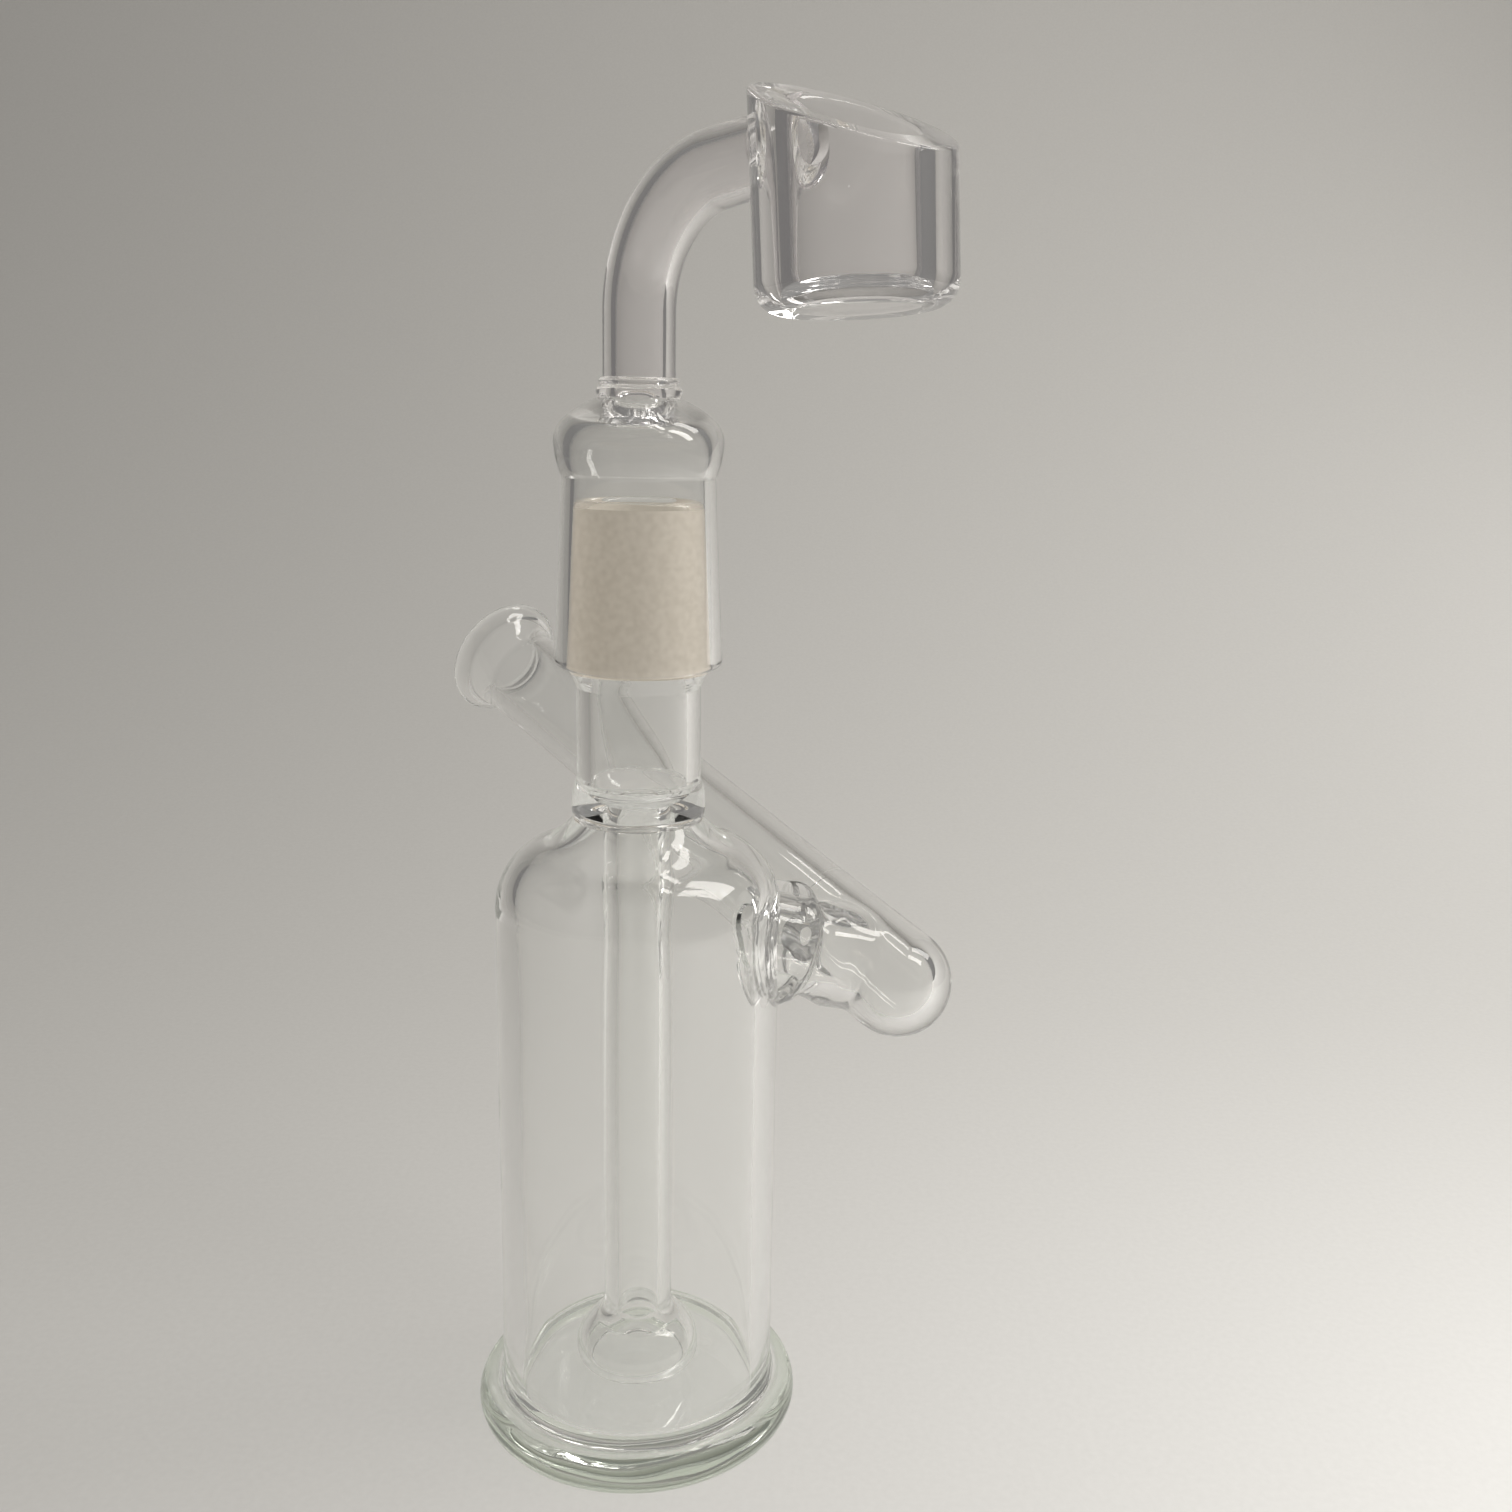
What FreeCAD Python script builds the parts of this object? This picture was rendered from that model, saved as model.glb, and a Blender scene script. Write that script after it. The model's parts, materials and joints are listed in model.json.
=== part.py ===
import FreeCAD, Part
import math
import os

# A small blown-glass bubbler with a removable quartz cup, standing on its foot.
# Millimetres. Origin: centre of the foot's underside. +Z up, +X along the side port.
# Three rigid groups: the glass body, the ground socket that lifts off its cone,
# and the bent arm with the cup, which swings about the joint's axis.

# ---- foot and chamber ----
FOOT_R = 22.8
FOOT_THICK = 5.7
CHAMBER_R = 19.25
CHAMBER_BORE_R = 16.2
SHOULDER_Z = 75.8
SHOULDER_ARC_R = 9.6
SHOULDER_ARC_TURN = 65.0
SHOULDER_WAIST = (10.8, 86.1)
SHOULDER_TOP_Z = 88.1
SHOULDER_TOP_BORE_R = 6.3
SHOULDER_RISE_SHARE = 0.45
SHOULDER_HOLLOW = 0.5
BASE_BEAD_W = 1.25
BASE_BEAD_H = 1.35

# ---- neck and ground joint: standard 18.8 mm joint, 20 mm ground, 1 in 10 on the diameter ----
NECK_R = 8.2
NECK_BORE_R = 6.4
SEAL_R = 8.95
SEAL_EDGE = 0.2
SEAL_TOP_Z = 93.1
FUNNEL_DEPTH = 3.2
FUNNEL_MIDDLE_R = 5.2
FUNNEL_MIDDLE_DEPTH = 2.1
FLARE_Z = 105.9
FLARE_BULGE = 0.45
CONE_Z = 108.3
CONE_LARGE_R = 9.4
CONE_WALL = 1.75
CONE_LENGTH = 20.0
CONE_TIP_LENGTH = 1.7
TIP_NARROWING = 0.05
TAPER = 0.05
JOINT_GAP = 0.05

# ---- downstem ----
STEM_R = 4.85
STEM_BORE_R = 2.9
BELL_TOP_Z = 16.3
BELL_WIDE_Z = 10.1
BELL_BOTTOM_Z = 7.8
BELL_R = 8.7
BELL_WALL = 1.4
BELL_NECK = (5.2, 15.4)
BELL_NECK_END = (6.0, 14.6)
BELL_SIDE = (8.0, 12.7)
BELL_LOWER_SIDE = (8.35, 8.7)
BELL_MOUTH_R = 7.3
BELL_MOUTH_BORE = (6.5, 8.3)
BELL_INNER_LOWER_SIDE = (7.1, 9.1)
BELL_INNER_SIDE = (6.7, 11.9)
BELL_INNER_NECK_END = (5.0, 13.5)
BELL_INNER_NECK = (3.5, 14.6)

# ---- side port and mouthpiece ----
PORT_TILT = 17.0
PORT_MEET_X = 34.4
PORT_MEET_Z = 64.5
PORT_BORE_R = 4.5
PORT_RING_R = 8.8
PORT_RING_END = 23.9
PORT_RING_ROUND = 3.4
PORT_RING_FACE_EDGE = 1.0
PORT_RING_SWELL = 0.3
PORT_RING_START = 13.0
STUB_R = 6.7
STUB_FLARE = 1.0
STUB_FLARE_LENGTH = 4.6
STUB_FLARE_MIDDLE = (0.2, 0.55)
STUB_SHORTFALL = 1.0
MOUTH_AZIMUTH = 121.6
MOUTH_RISE = 21.4
MOUTH_R = 7.65
MOUTH_BORE_R = 5.2
MOUTH_END_R = 7.85
MOUTH_BACK = 4.2
MOUTH_SEAM = 17.0
MOUTH_LENGTH = 97.5
LIP_LENGTH = 8.0
LIP_R = 10.2
LIP_FLARE = (0.4, 3.7)
LIP_EDGE = (0.1, 1.8)
LIP_ROUND = (0.3, 0.5)
LIP_TOP = 1.3
LIP_INNER_ROUND = (2.3, 0.7)
LIP_INNER_EDGE = (2.9, 2.0)
LIP_BORE_FLARE = (0.3, 3.0)

# ---- lift-off socket ----
SOCKET_Z = 108.6
SOCKET_R = 10.95
SOCKET_EDGE = 0.9
SOCKET_EDGE_MIDDLE = (0.25, 0.3)
WAIST_Z = 132.8
WAIST_R = 9.85
BULGE_Z = 136.7
BULGE_R = 10.75
DOME_TOP_Z = 142.7
DOME_TOP_R = 5.3
DOME_SIDE = (10.45, 134.5)
DOME_CORNER = (10.6, 138.6)
DOME_CORNER_END = (9.45, 140.2)
DOME_ROOF = (7.6, 141.55)
DOME_WALL = 1.5
DOME_INNER_ROOF = (5.2, 140.1)
DOME_INNER_CORNER_START = (7.6, 139.0)
DOME_INNER_CORNER = (8.55, 137.9)
DOME_INNER_CORNER_END = (8.85, 136.5)
DOME_INNER_SIDE = (8.75, 134.6)

# ---- arm and cup ----
SWING_GAP = 0.05
ARM_AZIMUTH = -61.0
ARM_R = 4.6
ARM_END_R = 3.8
ARM_BORE_R = 3.0
ARM_BORE_NARROWING = 0.4
ARM_BASE_Z = 145.2
ARM_BEAD_R = 5.6
ARM_BEAD_EDGE = 0.15
BEND_Z = 152.9
BEND_R = 15.8
BEND_ANGLE = 84.0
CUP_R = 11.1
CUP_BORE_R = 7.0
CUP_REACH = 35.2
CUP_TILT = 4.5
CUP_RIM_Z = 172.2
CUP_BOTTOM_Z = 152.0
CUP_FLOOR = 3.0
CUP_CORNER = 2.9
CUP_RIM_SLOPE = 26.0
CUP_RIM_TURN = -8.0
CUP_BEAD_R = 5.3
CUP_BEAD_LENGTH = 2.8
CUP_BEAD_EDGE = 0.2
CUP_BEAD_SWELL = (0.6, 0.6)
CUP_BEAD_REACH = 0.86

FAR = 80.0
HALF_TURN = math.sqrt(0.5)
Z_AXIS = FreeCAD.Vector(0, 0, 1)
CENTRE = FreeCAD.Vector(0, 0, 0)


def point(radius, height):
    return FreeCAD.Vector(radius, 0, height)


def outline_edges(start, steps):
    """Edges through the steps. A (radius, height) step ends a line; a pair of such
    points is an arc's middle and end."""
    edges = []
    here = start
    for step in steps:
        if isinstance(step[0], tuple):
            middle, end = step
            edges.append(Part.Arc(point(*here), point(*middle), point(*end)).toShape())
            here = end
        else:
            edges.append(Part.LineSegment(point(*here), point(*step)).toShape())
            here = step
    return edges


def lathe(start, *steps):
    """A solid turned about Z from an outline, which is closed if it is open."""
    steps = list(steps)
    if start not in (steps[-1], steps[-1][-1]):
        steps.append(start)
    face = Part.Face(Part.Wire(outline_edges(start, steps)))
    return face.revolve(CENTRE, Z_AXIS, 360)


def tube(outer, inner, low, high):
    body = Part.makeCylinder(outer, high - low, point(0, low))
    return body.cut(Part.makeCylinder(inner, high - low, point(0, low)))


def placed(shape, base, toward):
    """Move a shape built along +Z so that its axis runs from base toward a direction."""
    moved = shape.copy()
    moved.Placement = FreeCAD.Placement(base, FreeCAD.Rotation(Z_AXIS, toward))
    return moved


def largest(shape):
    return max(shape.Solids, key=lambda solid: solid.Volume)


def direction(azimuth, rise):
    flat = math.cos(math.radians(rise))
    x = flat * math.cos(math.radians(azimuth))
    y = flat * math.sin(math.radians(azimuth))
    return FreeCAD.Vector(x, y, math.sin(math.radians(rise)))


def on_arc(radius, centre_r, centre_z, turn):
    """The point at a turn in degrees, from the horizontal, on a circle in the outline."""
    angle = math.radians(turn)
    return (centre_r + radius * math.cos(angle), centre_z + radius * math.sin(angle))


def cone_radius(height):
    return CONE_LARGE_R - TAPER * (height - CONE_Z)


def socket_bore_radius(height):
    return cone_radius(height) + JOINT_GAP


# ---- axes shared by several pieces ----
PORT_DIR = direction(0, -PORT_TILT)
PORT_MEET = FreeCAD.Vector(PORT_MEET_X, 0, PORT_MEET_Z)
PORT_REACH = PORT_MEET_X / math.cos(math.radians(PORT_TILT))
PORT_START = PORT_MEET - PORT_DIR * PORT_REACH
MOUTH_DIR = direction(MOUTH_AZIMUTH, MOUTH_RISE)
MOUTH_START = PORT_MEET - MOUTH_DIR * MOUTH_BACK
LIP_START = MOUTH_LENGTH - LIP_LENGTH
CONE_TOP_Z = CONE_Z + CONE_LENGTH
ARM_U = direction(ARM_AZIMUTH, 0)
ARM_SIDE = Z_AXIS.cross(ARM_U)
BEND = math.radians(BEND_ANGLE)
FLOOR_TOP_Z = CUP_BOTTOM_Z + CUP_FLOOR


# ---- foot and chamber ----
def foot_disc():
    half = FOOT_THICK / 2
    edge = FOOT_R - half
    return lathe((0, 0), (edge, 0), ((FOOT_R, half), (edge, FOOT_THICK)), (0, FOOT_THICK))


def base_weld_bead():
    """The hollow-faced fused ring between the chamber's outside and the foot."""
    low = (CHAMBER_R + BASE_BEAD_W, FOOT_THICK)
    high = (CHAMBER_R, FOOT_THICK + BASE_BEAD_H)
    hollow = 1 - HALF_TURN
    middle = (CHAMBER_R + BASE_BEAD_W * hollow, FOOT_THICK + BASE_BEAD_H * hollow)
    return lathe((CHAMBER_R, FOOT_THICK), low, (middle, high))


def port_bore():
    start = PORT_REACH / 3
    bore = Part.makeCylinder(PORT_BORE_R, PORT_REACH - start, point(0, start))
    return placed(bore, PORT_START, PORT_DIR)


def chamber_tube():
    wall = tube(CHAMBER_R, CHAMBER_BORE_R, FOOT_THICK, SHOULDER_Z)
    return wall.cut(port_bore())


def shoulder_steps():
    """Outer side of the shoulder: a round turn inwards, then a hollow rise to the neck."""
    centre = CHAMBER_R - SHOULDER_ARC_R
    middle = on_arc(SHOULDER_ARC_R, centre, SHOULDER_Z, SHOULDER_ARC_TURN / 2)
    end = on_arc(SHOULDER_ARC_R, centre, SHOULDER_Z, SHOULDER_ARC_TURN)
    return (middle, end), (SHOULDER_WAIST, (SEAL_R - SEAL_EDGE, SHOULDER_TOP_Z))


def chamber_shoulder():
    centre = CHAMBER_R - SHOULDER_ARC_R
    inner_r = CHAMBER_BORE_R - centre
    middle = on_arc(inner_r, centre, SHOULDER_Z, SHOULDER_ARC_TURN / 2)
    end = on_arc(inner_r, centre, SHOULDER_Z, SHOULDER_ARC_TURN)
    rise_r = SHOULDER_TOP_BORE_R + (end[0] - SHOULDER_TOP_BORE_R) * SHOULDER_RISE_SHARE
    rise_z = end[1] + (SHOULDER_TOP_Z - end[1]) * SHOULDER_RISE_SHARE - SHOULDER_HOLLOW
    shell = lathe(
        (CHAMBER_BORE_R, SHOULDER_Z),
        (CHAMBER_R, SHOULDER_Z),
        *shoulder_steps(),
        (SHOULDER_TOP_BORE_R, SHOULDER_TOP_Z),
        ((rise_r, rise_z), end),
        (middle, (CHAMBER_BORE_R, SHOULDER_Z)),
    )
    return shell.cut(port_bore())


def chamber_envelope():
    """The chamber as a full solid, to trim what is fused onto its outside."""
    return lathe(
        (0, FOOT_THICK),
        (CHAMBER_R, FOOT_THICK),
        (CHAMBER_R, SHOULDER_Z),
        *shoulder_steps(),
        (0, SHOULDER_TOP_Z),
    )


# ---- neck, ground cone and downstem ----
def neck_seal_ring():
    """The fused ring where the neck, the shoulder and the downstem come together."""
    middle_z = (SHOULDER_TOP_Z + SEAL_TOP_Z) / 2
    funnel_middle = (FUNNEL_MIDDLE_R, SEAL_TOP_Z - FUNNEL_MIDDLE_DEPTH)
    return lathe(
        (STEM_BORE_R, SHOULDER_TOP_Z),
        (SEAL_R - SEAL_EDGE, SHOULDER_TOP_Z),
        ((SEAL_R, middle_z), (NECK_R + SEAL_EDGE, SEAL_TOP_Z)),
        (NECK_BORE_R, SEAL_TOP_Z),
        (funnel_middle, (STEM_BORE_R, SEAL_TOP_Z - FUNNEL_DEPTH)),
    )


def neck_tube():
    return tube(NECK_R, NECK_BORE_R, SEAL_TOP_Z, FLARE_Z)


def male_joint_flare():
    """Clear glass that widens from the neck to the ground cone's large end."""
    top_bore = CONE_LARGE_R - CONE_WALL
    middle_z = (FLARE_Z + CONE_Z) / 2
    return lathe(
        (NECK_BORE_R, FLARE_Z),
        (NECK_R, FLARE_Z),
        ((NECK_R + FLARE_BULGE, middle_z), (CONE_LARGE_R, CONE_Z)),
        (top_bore, CONE_Z),
        ((NECK_BORE_R + FLARE_BULGE, middle_z), (NECK_BORE_R, FLARE_Z)),
    )


def male_joint_cone():
    top = cone_radius(CONE_TOP_Z)
    return lathe(
        (CONE_LARGE_R - CONE_WALL, CONE_Z),
        (CONE_LARGE_R, CONE_Z),
        (top, CONE_TOP_Z),
        (top - CONE_WALL, CONE_TOP_Z),
    )


def male_joint_tip():
    outer = cone_radius(CONE_TOP_Z)
    inner = outer - CONE_WALL
    round_z = CONE_TOP_Z + CONE_TIP_LENGTH - CONE_WALL / 2
    return lathe(
        (inner, CONE_TOP_Z),
        (outer, CONE_TOP_Z),
        (outer - TIP_NARROWING, round_z),
        (((outer + inner) / 2, CONE_TOP_Z + CONE_TIP_LENGTH), (inner, round_z)),
    )


def downstem_tube():
    return tube(STEM_R, STEM_BORE_R, BELL_TOP_Z, SHOULDER_TOP_Z)


def diffuser_bell():
    """The downstem's end, blown out to a bell and rolled in at its mouth."""
    return lathe(
        (STEM_BORE_R, BELL_TOP_Z),
        (STEM_R, BELL_TOP_Z),
        (BELL_NECK, BELL_NECK_END),
        (BELL_SIDE, (BELL_R, BELL_WIDE_Z)),
        (BELL_LOWER_SIDE, (BELL_MOUTH_R, BELL_BOTTOM_Z)),
        BELL_MOUTH_BORE,
        (BELL_INNER_LOWER_SIDE, (BELL_R - BELL_WALL, BELL_WIDE_Z)),
        (BELL_INNER_SIDE, BELL_INNER_NECK_END),
        (BELL_INNER_NECK, (STEM_BORE_R, BELL_TOP_Z)),
    )


# ---- side port and mouthpiece ----
def mouthpiece_outer_end():
    """Outer side of the closed end, from its tip to the seam with the tube."""
    edge = MOUTH_END_R * HALF_TURN
    return ((edge, -edge), (MOUTH_END_R, 0)), (MOUTH_R, MOUTH_SEAM)


def mouthpiece_envelope():
    """The mouthpiece near the port as a full solid, to trim the ring and stub."""
    body = lathe(
        (0, -MOUTH_END_R),
        *mouthpiece_outer_end(),
        (MOUTH_R, LIP_START),
        (0, LIP_START),
    )
    return placed(body, MOUTH_START, MOUTH_DIR)


def side_port_weld_ring():
    """The thick fused ring on the chamber's wall, trimmed by the chamber and mouthpiece."""
    side = PORT_RING_R - PORT_RING_SWELL
    widest = (PORT_RING_R, PORT_RING_END - PORT_RING_ROUND / 2)
    ring = lathe(
        (PORT_BORE_R, PORT_RING_START),
        (side, PORT_RING_START),
        (side, PORT_RING_END - PORT_RING_ROUND),
        (widest, (PORT_RING_R - PORT_RING_FACE_EDGE, PORT_RING_END)),
        (PORT_BORE_R, PORT_RING_END),
    )
    ring = placed(ring, PORT_START, PORT_DIR)
    return largest(ring.cut([chamber_envelope(), mouthpiece_envelope()]))


def side_port_stub():
    """The short side tube, which widens as it runs into the mouthpiece."""
    flare_end = PORT_RING_END + STUB_FLARE_LENGTH
    out_share, along_share = STUB_FLARE_MIDDLE
    middle = (STUB_R + STUB_FLARE * out_share, PORT_RING_END + STUB_FLARE_LENGTH * along_share)
    far_end = PORT_REACH - STUB_SHORTFALL
    stub = lathe(
        (PORT_BORE_R, PORT_RING_END),
        (STUB_R, PORT_RING_END),
        (middle, (STUB_R + STUB_FLARE, flare_end)),
        (STUB_R + STUB_FLARE, far_end),
        (PORT_BORE_R, far_end),
    )
    stub = placed(stub, PORT_START, PORT_DIR)
    return largest(stub.cut(mouthpiece_envelope()))


def mouthpiece_closed_end():
    inner_edge = MOUTH_BORE_R * HALF_TURN
    end = lathe(
        (0, -MOUTH_END_R),
        *mouthpiece_outer_end(),
        (MOUTH_BORE_R, MOUTH_SEAM),
        (MOUTH_BORE_R, 0),
        ((inner_edge, -inner_edge), (0, -MOUTH_BORE_R)),
    )
    return placed(end, MOUTH_START, MOUTH_DIR).cut(port_bore())


def mouthpiece_tube():
    pipe = tube(MOUTH_R, MOUTH_BORE_R, MOUTH_SEAM, LIP_START)
    return placed(pipe, MOUTH_START, MOUTH_DIR)


def from_lip(inset):
    """The point at an inset from the lip's widest radius and its open end."""
    return (LIP_R - inset[0], MOUTH_LENGTH - inset[1])


def mouthpiece_lip():
    """The open end, opened out to a rounded rim."""
    flare = (MOUTH_R + LIP_FLARE[0], LIP_START + LIP_FLARE[1])
    bore_flare = (MOUTH_BORE_R + LIP_BORE_FLARE[0], LIP_START + LIP_BORE_FLARE[1])
    lip = lathe(
        (MOUTH_BORE_R, LIP_START),
        (MOUTH_R, LIP_START),
        (flare, from_lip(LIP_EDGE)),
        (from_lip(LIP_ROUND), from_lip((LIP_TOP, 0))),
        (from_lip(LIP_INNER_ROUND), from_lip(LIP_INNER_EDGE)),
        (bore_flare, (MOUTH_BORE_R, LIP_START)),
    )
    return placed(lip, MOUTH_START, MOUTH_DIR)


# ---- lift-off socket ----
def joint_socket():
    mouth = (SOCKET_R - SOCKET_EDGE, SOCKET_Z)
    round_end = (SOCKET_R, SOCKET_Z + SOCKET_EDGE)
    in_share, up_share = SOCKET_EDGE_MIDDLE
    round_middle = (SOCKET_R - SOCKET_EDGE * in_share, SOCKET_Z + SOCKET_EDGE * up_share)
    return lathe(
        (socket_bore_radius(SOCKET_Z), SOCKET_Z),
        mouth,
        (round_middle, round_end),
        (WAIST_R, WAIST_Z),
        (socket_bore_radius(WAIST_Z), WAIST_Z),
    )


def socket_shoulder():
    waist_bore = socket_bore_radius(WAIST_Z)
    return lathe(
        (waist_bore, WAIST_Z),
        (WAIST_R, WAIST_Z),
        (DOME_SIDE, (BULGE_R, BULGE_Z)),
        (DOME_CORNER, DOME_CORNER_END),
        (DOME_ROOF, (DOME_TOP_R, DOME_TOP_Z)),
        (ARM_BORE_R, DOME_TOP_Z),
        (ARM_BORE_R, DOME_TOP_Z - DOME_WALL),
        (DOME_INNER_ROOF, DOME_INNER_CORNER_START),
        (DOME_INNER_CORNER, DOME_INNER_CORNER_END),
        (DOME_INNER_SIDE, (waist_bore, WAIST_Z)),
    )


# ---- arm and cup: the arm lies in the plane of Z and ARM_U ----
def in_arm_plane(out, height):
    return ARM_U * out + Z_AXIS * height


def run_axis():
    """The centre line past the bend: its start and its direction."""
    start = in_arm_plane(BEND_R * (1 - math.cos(BEND)), BEND_Z + BEND_R * math.sin(BEND))
    return start, in_arm_plane(math.sin(BEND), math.cos(BEND))


def run_length():
    """Length of the run from the bend to the cup's axis."""
    start, toward = run_axis()
    return (CUP_REACH - start.dot(ARM_U)) / toward.dot(ARM_U)


def arm_rod(radius, end_radius):
    """The arm as a full rod: riser, bend, and a run that narrows towards the cup."""
    riser = Part.makeCylinder(radius, BEND_Z - ARM_BASE_Z, point(0, ARM_BASE_Z))
    circle = Part.makeCircle(radius, FreeCAD.Vector(0, 0, BEND_Z), Z_AXIS)
    disc = Part.Face(Part.Wire([circle]))
    bend = disc.revolve(in_arm_plane(BEND_R, BEND_Z), ARM_SIDE, BEND_ANGLE)
    start, toward = run_axis()
    run = Part.makeCone(radius, end_radius, run_length(), start, toward)
    return riser.fuse([bend, run])


def arm_weld_bead():
    low = DOME_TOP_Z + SWING_GAP
    middle_z = (low + ARM_BASE_Z) / 2
    return lathe(
        (ARM_BORE_R, low),
        (DOME_TOP_R, low),
        ((ARM_BEAD_R, middle_z), (ARM_R + ARM_BEAD_EDGE, ARM_BASE_Z)),
        (ARM_BORE_R, ARM_BASE_Z),
    )


def rim_cutter():
    """Everything above the slanted rim plane, which is high on the arm's side."""
    block = Part.makeBox(FAR, FAR, FAR, FreeCAD.Vector(-FAR / 2, -FAR / 2, 0))
    block.rotate(CENTRE, FreeCAD.Vector(0, 1, 0), CUP_RIM_SLOPE)
    block.rotate(CENTRE, Z_AXIS, CUP_RIM_TURN)
    block.translate(point(0, CUP_RIM_Z))
    return block


def cup_body():
    """The cup's outer shape before it is leant and moved: round bottom corner, slanted rim."""
    side = CUP_R - CUP_CORNER
    corner = CUP_CORNER * HALF_TURN
    middle = (side + corner, CUP_BOTTOM_Z + CUP_CORNER - corner)
    blank = lathe(
        (0, CUP_BOTTOM_Z),
        (side, CUP_BOTTOM_Z),
        (middle, (CUP_R, CUP_BOTTOM_Z + CUP_CORNER)),
        (CUP_R, CUP_RIM_Z + CUP_R),
        (0, CUP_RIM_Z + CUP_R),
    )
    return blank.cut(rim_cutter())


def at_cup(shape):
    """Move a shape turned about Z to the cup's place, leaning in at the top."""
    moved = shape.copy()
    moved.rotate(CENTRE, Z_AXIS, ARM_AZIMUTH)
    moved.translate(ARM_U * CUP_REACH)
    moved.rotate(in_arm_plane(CUP_REACH, CUP_RIM_Z), ARM_SIDE, -CUP_TILT)
    return moved


def arm_bore():
    return arm_rod(ARM_BORE_R, ARM_BORE_R - ARM_BORE_NARROWING)


def cup_wall():
    keep = Part.makeCylinder(CUP_R + 1, FAR, point(0, FLOOR_TOP_Z))
    bore = Part.makeCylinder(CUP_BORE_R, FAR, point(0, FLOOR_TOP_Z))
    wall = cup_body().common(keep).cut(bore)
    return at_cup(wall).cut(arm_bore())


def cup_floor():
    keep = Part.makeCylinder(CUP_R + 1, CUP_FLOOR, point(0, CUP_BOTTOM_Z))
    return at_cup(cup_body().common(keep))


def arm_tube():
    return largest(arm_rod(ARM_R, ARM_END_R).cut([at_cup(cup_body()), arm_bore()]))


def cup_weld_bead():
    """The fused ring where the arm meets the cup's wall."""
    start, toward = run_axis()
    end = run_length() - CUP_R * CUP_BEAD_REACH
    inset, length_share = CUP_BEAD_SWELL
    middle = (CUP_BEAD_R - inset, end - CUP_BEAD_LENGTH * length_share)
    bead = lathe(
        (0, end - CUP_BEAD_LENGTH),
        (ARM_END_R + CUP_BEAD_EDGE, end - CUP_BEAD_LENGTH),
        (middle, (CUP_BEAD_R, end)),
        (0, end),
    )
    bead = placed(bead, start, toward)
    return largest(bead.cut([at_cup(cup_body()), arm_rod(ARM_R, ARM_END_R)]))


NODES = {
    "foot_disc": foot_disc,
    "base_weld_bead": base_weld_bead,
    "chamber_tube": chamber_tube,
    "chamber_shoulder": chamber_shoulder,
    "neck_seal_ring": neck_seal_ring,
    "neck_tube": neck_tube,
    "male_joint_flare": male_joint_flare,
    "male_joint_cone": male_joint_cone,
    "male_joint_tip": male_joint_tip,
    "downstem_tube": downstem_tube,
    "diffuser_bell": diffuser_bell,
    "side_port_weld_ring": side_port_weld_ring,
    "side_port_stub": side_port_stub,
    "mouthpiece_closed_end": mouthpiece_closed_end,
    "mouthpiece_tube": mouthpiece_tube,
    "mouthpiece_lip": mouthpiece_lip,
    "joint_socket": joint_socket,
    "socket_shoulder": socket_shoulder,
    "arm_weld_bead": arm_weld_bead,
    "arm_tube": arm_tube,
    "cup_weld_bead": cup_weld_bead,
    "cup_wall": cup_wall,
    "cup_floor": cup_floor,
}

os.makedirs("parts", exist_ok=True)
for name, make in NODES.items():
    shape = make()
    print(name, len(shape.Solids), shape.isValid(), round(shape.Volume, 1))
    shape.exportStep("parts/" + name + ".step")
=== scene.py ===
import json
import math

import bmesh
import bpy
from mathutils import Matrix, Vector, noise


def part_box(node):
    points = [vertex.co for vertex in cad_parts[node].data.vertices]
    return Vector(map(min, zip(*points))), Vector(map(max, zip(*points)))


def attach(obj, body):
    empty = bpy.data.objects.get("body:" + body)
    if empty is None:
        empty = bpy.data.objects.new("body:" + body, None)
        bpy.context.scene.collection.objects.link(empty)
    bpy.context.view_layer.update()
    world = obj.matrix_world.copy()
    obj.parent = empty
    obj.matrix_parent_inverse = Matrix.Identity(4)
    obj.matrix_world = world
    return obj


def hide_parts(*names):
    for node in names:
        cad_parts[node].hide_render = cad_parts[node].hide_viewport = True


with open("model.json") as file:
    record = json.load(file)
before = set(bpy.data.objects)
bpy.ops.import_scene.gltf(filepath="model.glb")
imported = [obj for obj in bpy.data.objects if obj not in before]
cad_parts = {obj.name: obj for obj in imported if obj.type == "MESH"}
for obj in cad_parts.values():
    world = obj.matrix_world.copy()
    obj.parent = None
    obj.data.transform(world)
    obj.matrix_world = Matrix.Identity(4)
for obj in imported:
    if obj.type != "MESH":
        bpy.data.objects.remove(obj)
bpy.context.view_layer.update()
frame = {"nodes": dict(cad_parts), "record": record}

# The looks of a small blown-glass bubbler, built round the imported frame.
# Metres in the row's frame: +Z up, +X towards the side port, origin under the foot.
# Each piece is modelled in millimetres, upright or about its own axis and then put in its
# place, and is scaled to metres when it is hung on its body.

MM = 0.001

# A face's surface number is its material slot: glass against air, a face melted together
# with a neighbouring piece, and ground glass.
GLASS, FUSED, GROUND = 0, 1, 2

# How finely round shapes are divided: faces in a turn, and millimetres along an outline.
SEGMENTS, STEM_SEGMENTS, PORT_SEGMENTS, CUP_SEGMENTS, ARM_SEGMENTS = 160, 112, 96, 192, 96
CUTTER_SEGMENTS, SEAM_SEGMENTS = 128, 48
SPACING, SEAL_SPACING, CUP_SPACING, WELD_SPACING, LUMP_SPACING = 1.5, 0.8, 1.2, 0.6, 0.2
ARC_STEP = math.radians(5)
SHARP_ANGLE = math.radians(38)
SAME_POINT, ON_AXIS = 1e-9, 1e-6

Z_AXIS = Vector((0, 0, 1))


# ---- sizes read from the frame, in millimetres ----
def low(node):
    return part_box(node)[0] / MM


def high(node):
    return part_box(node)[1] / MM


def bore_of(node):
    """The smallest distance of a CAD node's surface from the Z axis."""
    return min(math.hypot(v.co.x, v.co.y) for v in frame["nodes"][node].data.vertices) / MM


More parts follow.
